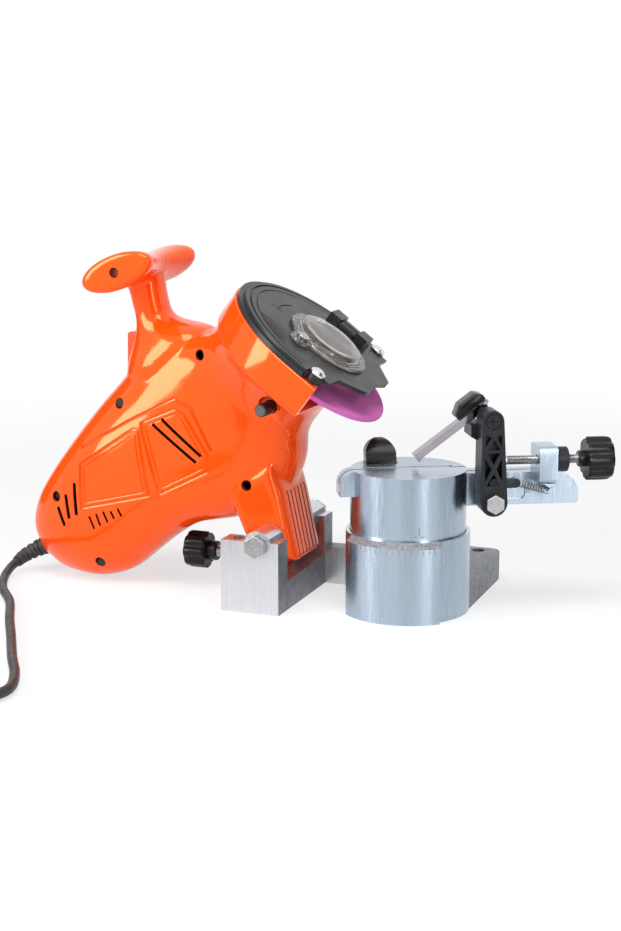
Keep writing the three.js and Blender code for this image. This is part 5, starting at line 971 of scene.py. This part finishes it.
trigger_way = boxes("trigger way", [[
    (MM @ HEAD) @ trigger_place(depth, length, y) for length in (-13.9, 13.9)
    for depth, y in ((-14.0, -6.9), (12.0, -6.9), (12.0, 6.9), (-14.0, 6.9))]])
sleeve_profile = [(0, -30.0), (3.4, -30.0), (3.4, -7.3), (7.1, -7.3), (7.1, 6.0), (0, 6.0)]
ways = [
    trigger_way, rod(8.6, -24.0, 0.0, 40, HEAD), rod(4.6, -60, 4.0, 32, LOCK_PLACE),
    rod(4.4, -40, 40, 32, tipped(UPRIGHT, -84, 0, 45)), turned("sleeve way", sleeve_profile, 32, EXIT_PLACE),
]
scoop_profile = [(0, -60), (7.4, -60), (7.4, -34.0), (6.2, -32.8), (0, -32.8)]
cut(shell, orange, turned("scoop", scoop_profile, 56, LOCK_PLACE))
cut(shell, vent_dark, *ways)
cut(shell, vent_dark, block(UPRIGHT, (-400, -0.14, -50), (200, 0.14, 400)))
finished("motor housing", taken(shell), None, ["housing_front", "housing_rear"], corner=42)

# Housing screws: four cross-head screws at the bottom of deep recesses in the front shell, which hold
# the two shells together. They are dull and dark.
dull_screw = surface("dull screw", (0.040, 0.034, 0.032), (0.028, 0.024, 0.023), 500, 0.5, 0.1, 1500, 3e-5,
                     metal=0.6)
for number in (1, 2, 3, 4):
    carried(f"housing_screw_{number}", dull_screw, 0.0002)

# Trigger: an orange moulded paddle in the grip, sprung outwards, which the forefinger presses in to
# start the motor. Its edges are well rounded.
trigger_orange = surface("trigger plastic", (0.94, 0.10, 0.012), (0.85, 0.075, 0.008), 60, 0.3, 0.06, 900,
                         3e-5, Coat_Weight=0.25, Coat_Roughness=0.15)
carried("trigger", trigger_orange, 0.0028)

# Spindle lock: a black button in a round scoop of the front shell, with a ribbed stem and a grey end.
# Pushed in, its pin holds the spindle while the wheel nut is turned.
button_grey = surface("button end", (0.16, 0.16, 0.165), (0.10, 0.10, 0.105), 900, 0.45, 0.1, 1500, 6e-5,
                      metal=0.8)
lock_profile = [(0, -50.0), (3.2, -50.0), (3.9, -49.3), (4.2, -48.6)]
for k in range(5):
    base = -47.8 + k * 1.5
    lock_profile += [(4.2, base), (3.75, base + 0.3), (3.75, base + 0.8), (4.2, base + 1.1)]
lock_profile += [(4.2, -22.0), (2.6, -22.0), (2.6, -7.4), (2.2, -7.0), (0, -7.0)]
lock_button = finished("spindle lock", turned("spindle lock", lock_profile, 48, LOCK_PLACE), knob_black,
                       ["spindle_lock"])
lock_button.data.materials.append(button_grey)
for face in lock_button.data.polygons:
    if face.center.y < -0.0492:
        face.material_index = 1

# Wheel guard: a black moulded cover with a stepped rim, held to the tray by two bright round-headed
# bolts. One screw shuts the window over the wheel nut.
guard_black = surface("guard plastic", (0.020, 0.023, 0.024), (0.027, 0.030, 0.031), 40, 0.30, 0.05, 1300,
                      2e-5, Specular_IOR_Level=0.22)


def arc_channel(radius, width, low, high, start, end, steps=48):
    """A channel along part of a circle round the wheel's axis, in the head's frame."""
    rings = []
    for k in range(steps + 1):
        turn = radians(start + (end - start) * k / steps)
        rings.append([(MM @ HEAD) @ Vector((r * cos(turn), r * sin(turn), z)) for r, z in (
            (radius, low), (radius + width, low), (radius + width, high), (radius, high))])
    return lofted("channel", rings)


tick = lofted("tick", [[(MM @ HEAD) @ Vector((-x, -0.27 * x + y, z)) for y, z in (
    (-0.45, 15.8), (0.45, 15.8), (0.45, 18.0), (-0.45, 18.0))] for x in (35.0, 44.0)])
corners = rough_piece("corners", guard_black, block(HEAD, (10.8, -72, 9.0), (34.0, -56.2, 20.0)),
                      block(HEAD, (10.8, 56.2, 9.0), (34.0, 72, 20.0)))
cut(corners, guard_black, *[rod(5.2, 8.0, 22.0, 40, place) for place in BOLT_PLACES])
guard_form = cut(rough_piece("guard form", guard_black, from_cad("wheel_guard")), guard_black,
                 arc_channel(59.6, 1.5, 15.3, 18.0, 84, 276), arc_channel(55.2, 0.8, 15.7, 18.0, 84, 276),
                 arc_channel(40.0, 0.9, 15.8, 18.0, 160, 194, 16), tick)
changed_by("DIFFERENCE", guard_form, corners)
finished("wheel guard", taken(guard_form), None, ["wheel_guard"], 0.0005, corner=30)
carried("guard_bolt_front guard_bolt_rear", bright, corner=30)
carried("window_screw", zinc, 0.0003, corner=30)

# Window hinge: two square cheeks on a bar of the guard, and a steel pin between them that the barrel
# of the window turns on.
HINGE_PLACE = HEAD @ Matrix.Translation((0, 35, 21.2)) @ Matrix.Rotation(pi / 2, 4, "Y")
hinge_form = rough_piece("hinge form", guard_black, block(HEAD, (-19, 31.2, 16.8), (-9.9, 45, 25.4)),
                         block(HEAD, (3.5, 31.2, 16.8), (12, 45, 25.4)))
changed_by("UNION", hinge_form,
           rough_piece("hinge bar", guard_black, block(HEAD, (-18.5, 41.6, 16.8), (11.5, 44.6, 23.4))))
cut(hinge_form, guard_black, rod(1.8, -24, 16, 24, HINGE_PLACE))
finished("hinge block", taken(hinge_form), guard_black, ["hinge_block"], 0.0011)
carried("hinge_pin", zinc, 0.0002)

# Window: a smoked dish over the wheel nut, with a screw lobe below and an ear above that carries the
# barrel of the hinge. The ear and barrel are black.
smoked = surface("smoked window", (0.66, 0.63, 0.60), (0.60, 0.57, 0.54), 60, 0.06, 0.03, 300, 1e-5,
                 Transmission_Weight=0.93, IOR=1.45)
window_profile = [(0, 21.3), (18.6, 21.3), (20.4, 20.9), (21.0, 19.6), (21.0, 16.7), (28.1, 16.7),
                  (28.6, 17.2), (28.6, 18.3), (28.0, 18.9), (26.0, 18.9), (25.6, 19.4), (24.4, 19.4),
                  (24.0, 19.0), (23.0, 19.4), (22.4, 20.6), (21.9, 22.3), (20.6, 23.0), (17.0, 23.2), (0, 23.2)]
room_profile = [(0, 10), (21.0, 10), (21.0, 19.6), (20.4, 20.9), (18.6, 21.3), (0, 21.3)]
lobe_profile = [(0, 16.7), (7.5, 16.7), (7.5, 18.5), (7.1, 18.9), (0, 18.9)]
WINDOW_PLACE = HEAD @ Matrix.Translation((-1.5, 0, 0))
LOBE_PLACE = HEAD @ Matrix.Translation((-10, -31, 0))
window = rough_piece("window", smoked, turned("window", window_profile, 96, WINDOW_PLACE))
changed_by("UNION", window, rough_piece("window lobe", smoked, turned("lobe", lobe_profile, 48, LOBE_PLACE)),
           rough_piece("window ear", smoked, block(HEAD, (-9, 20, 16.7), (3, 35, 18.9))),
           rough_piece("window barrel", smoked, rod(4.2, -9, 3, 40, HINGE_PLACE)))
cut(window, smoked, turned("room", room_profile, 96, WINDOW_PLACE))
cut(window, smoked, rod(2.8, 10, 30, 28, LOBE_PLACE), rod(1.9, -12, 6, 24, HINGE_PLACE))
window_mesh = taken(window)
finished("guard window", window_mesh, smoked, ["guard_window"], corner=28)
window_mesh.materials.append(guard_black)
for face in window_mesh.polygons:
    if (HEAD.inverted() @ (face.center * 1000)).y > 29.6:
        face.material_index = 1

bpy.context.view_layer.update()
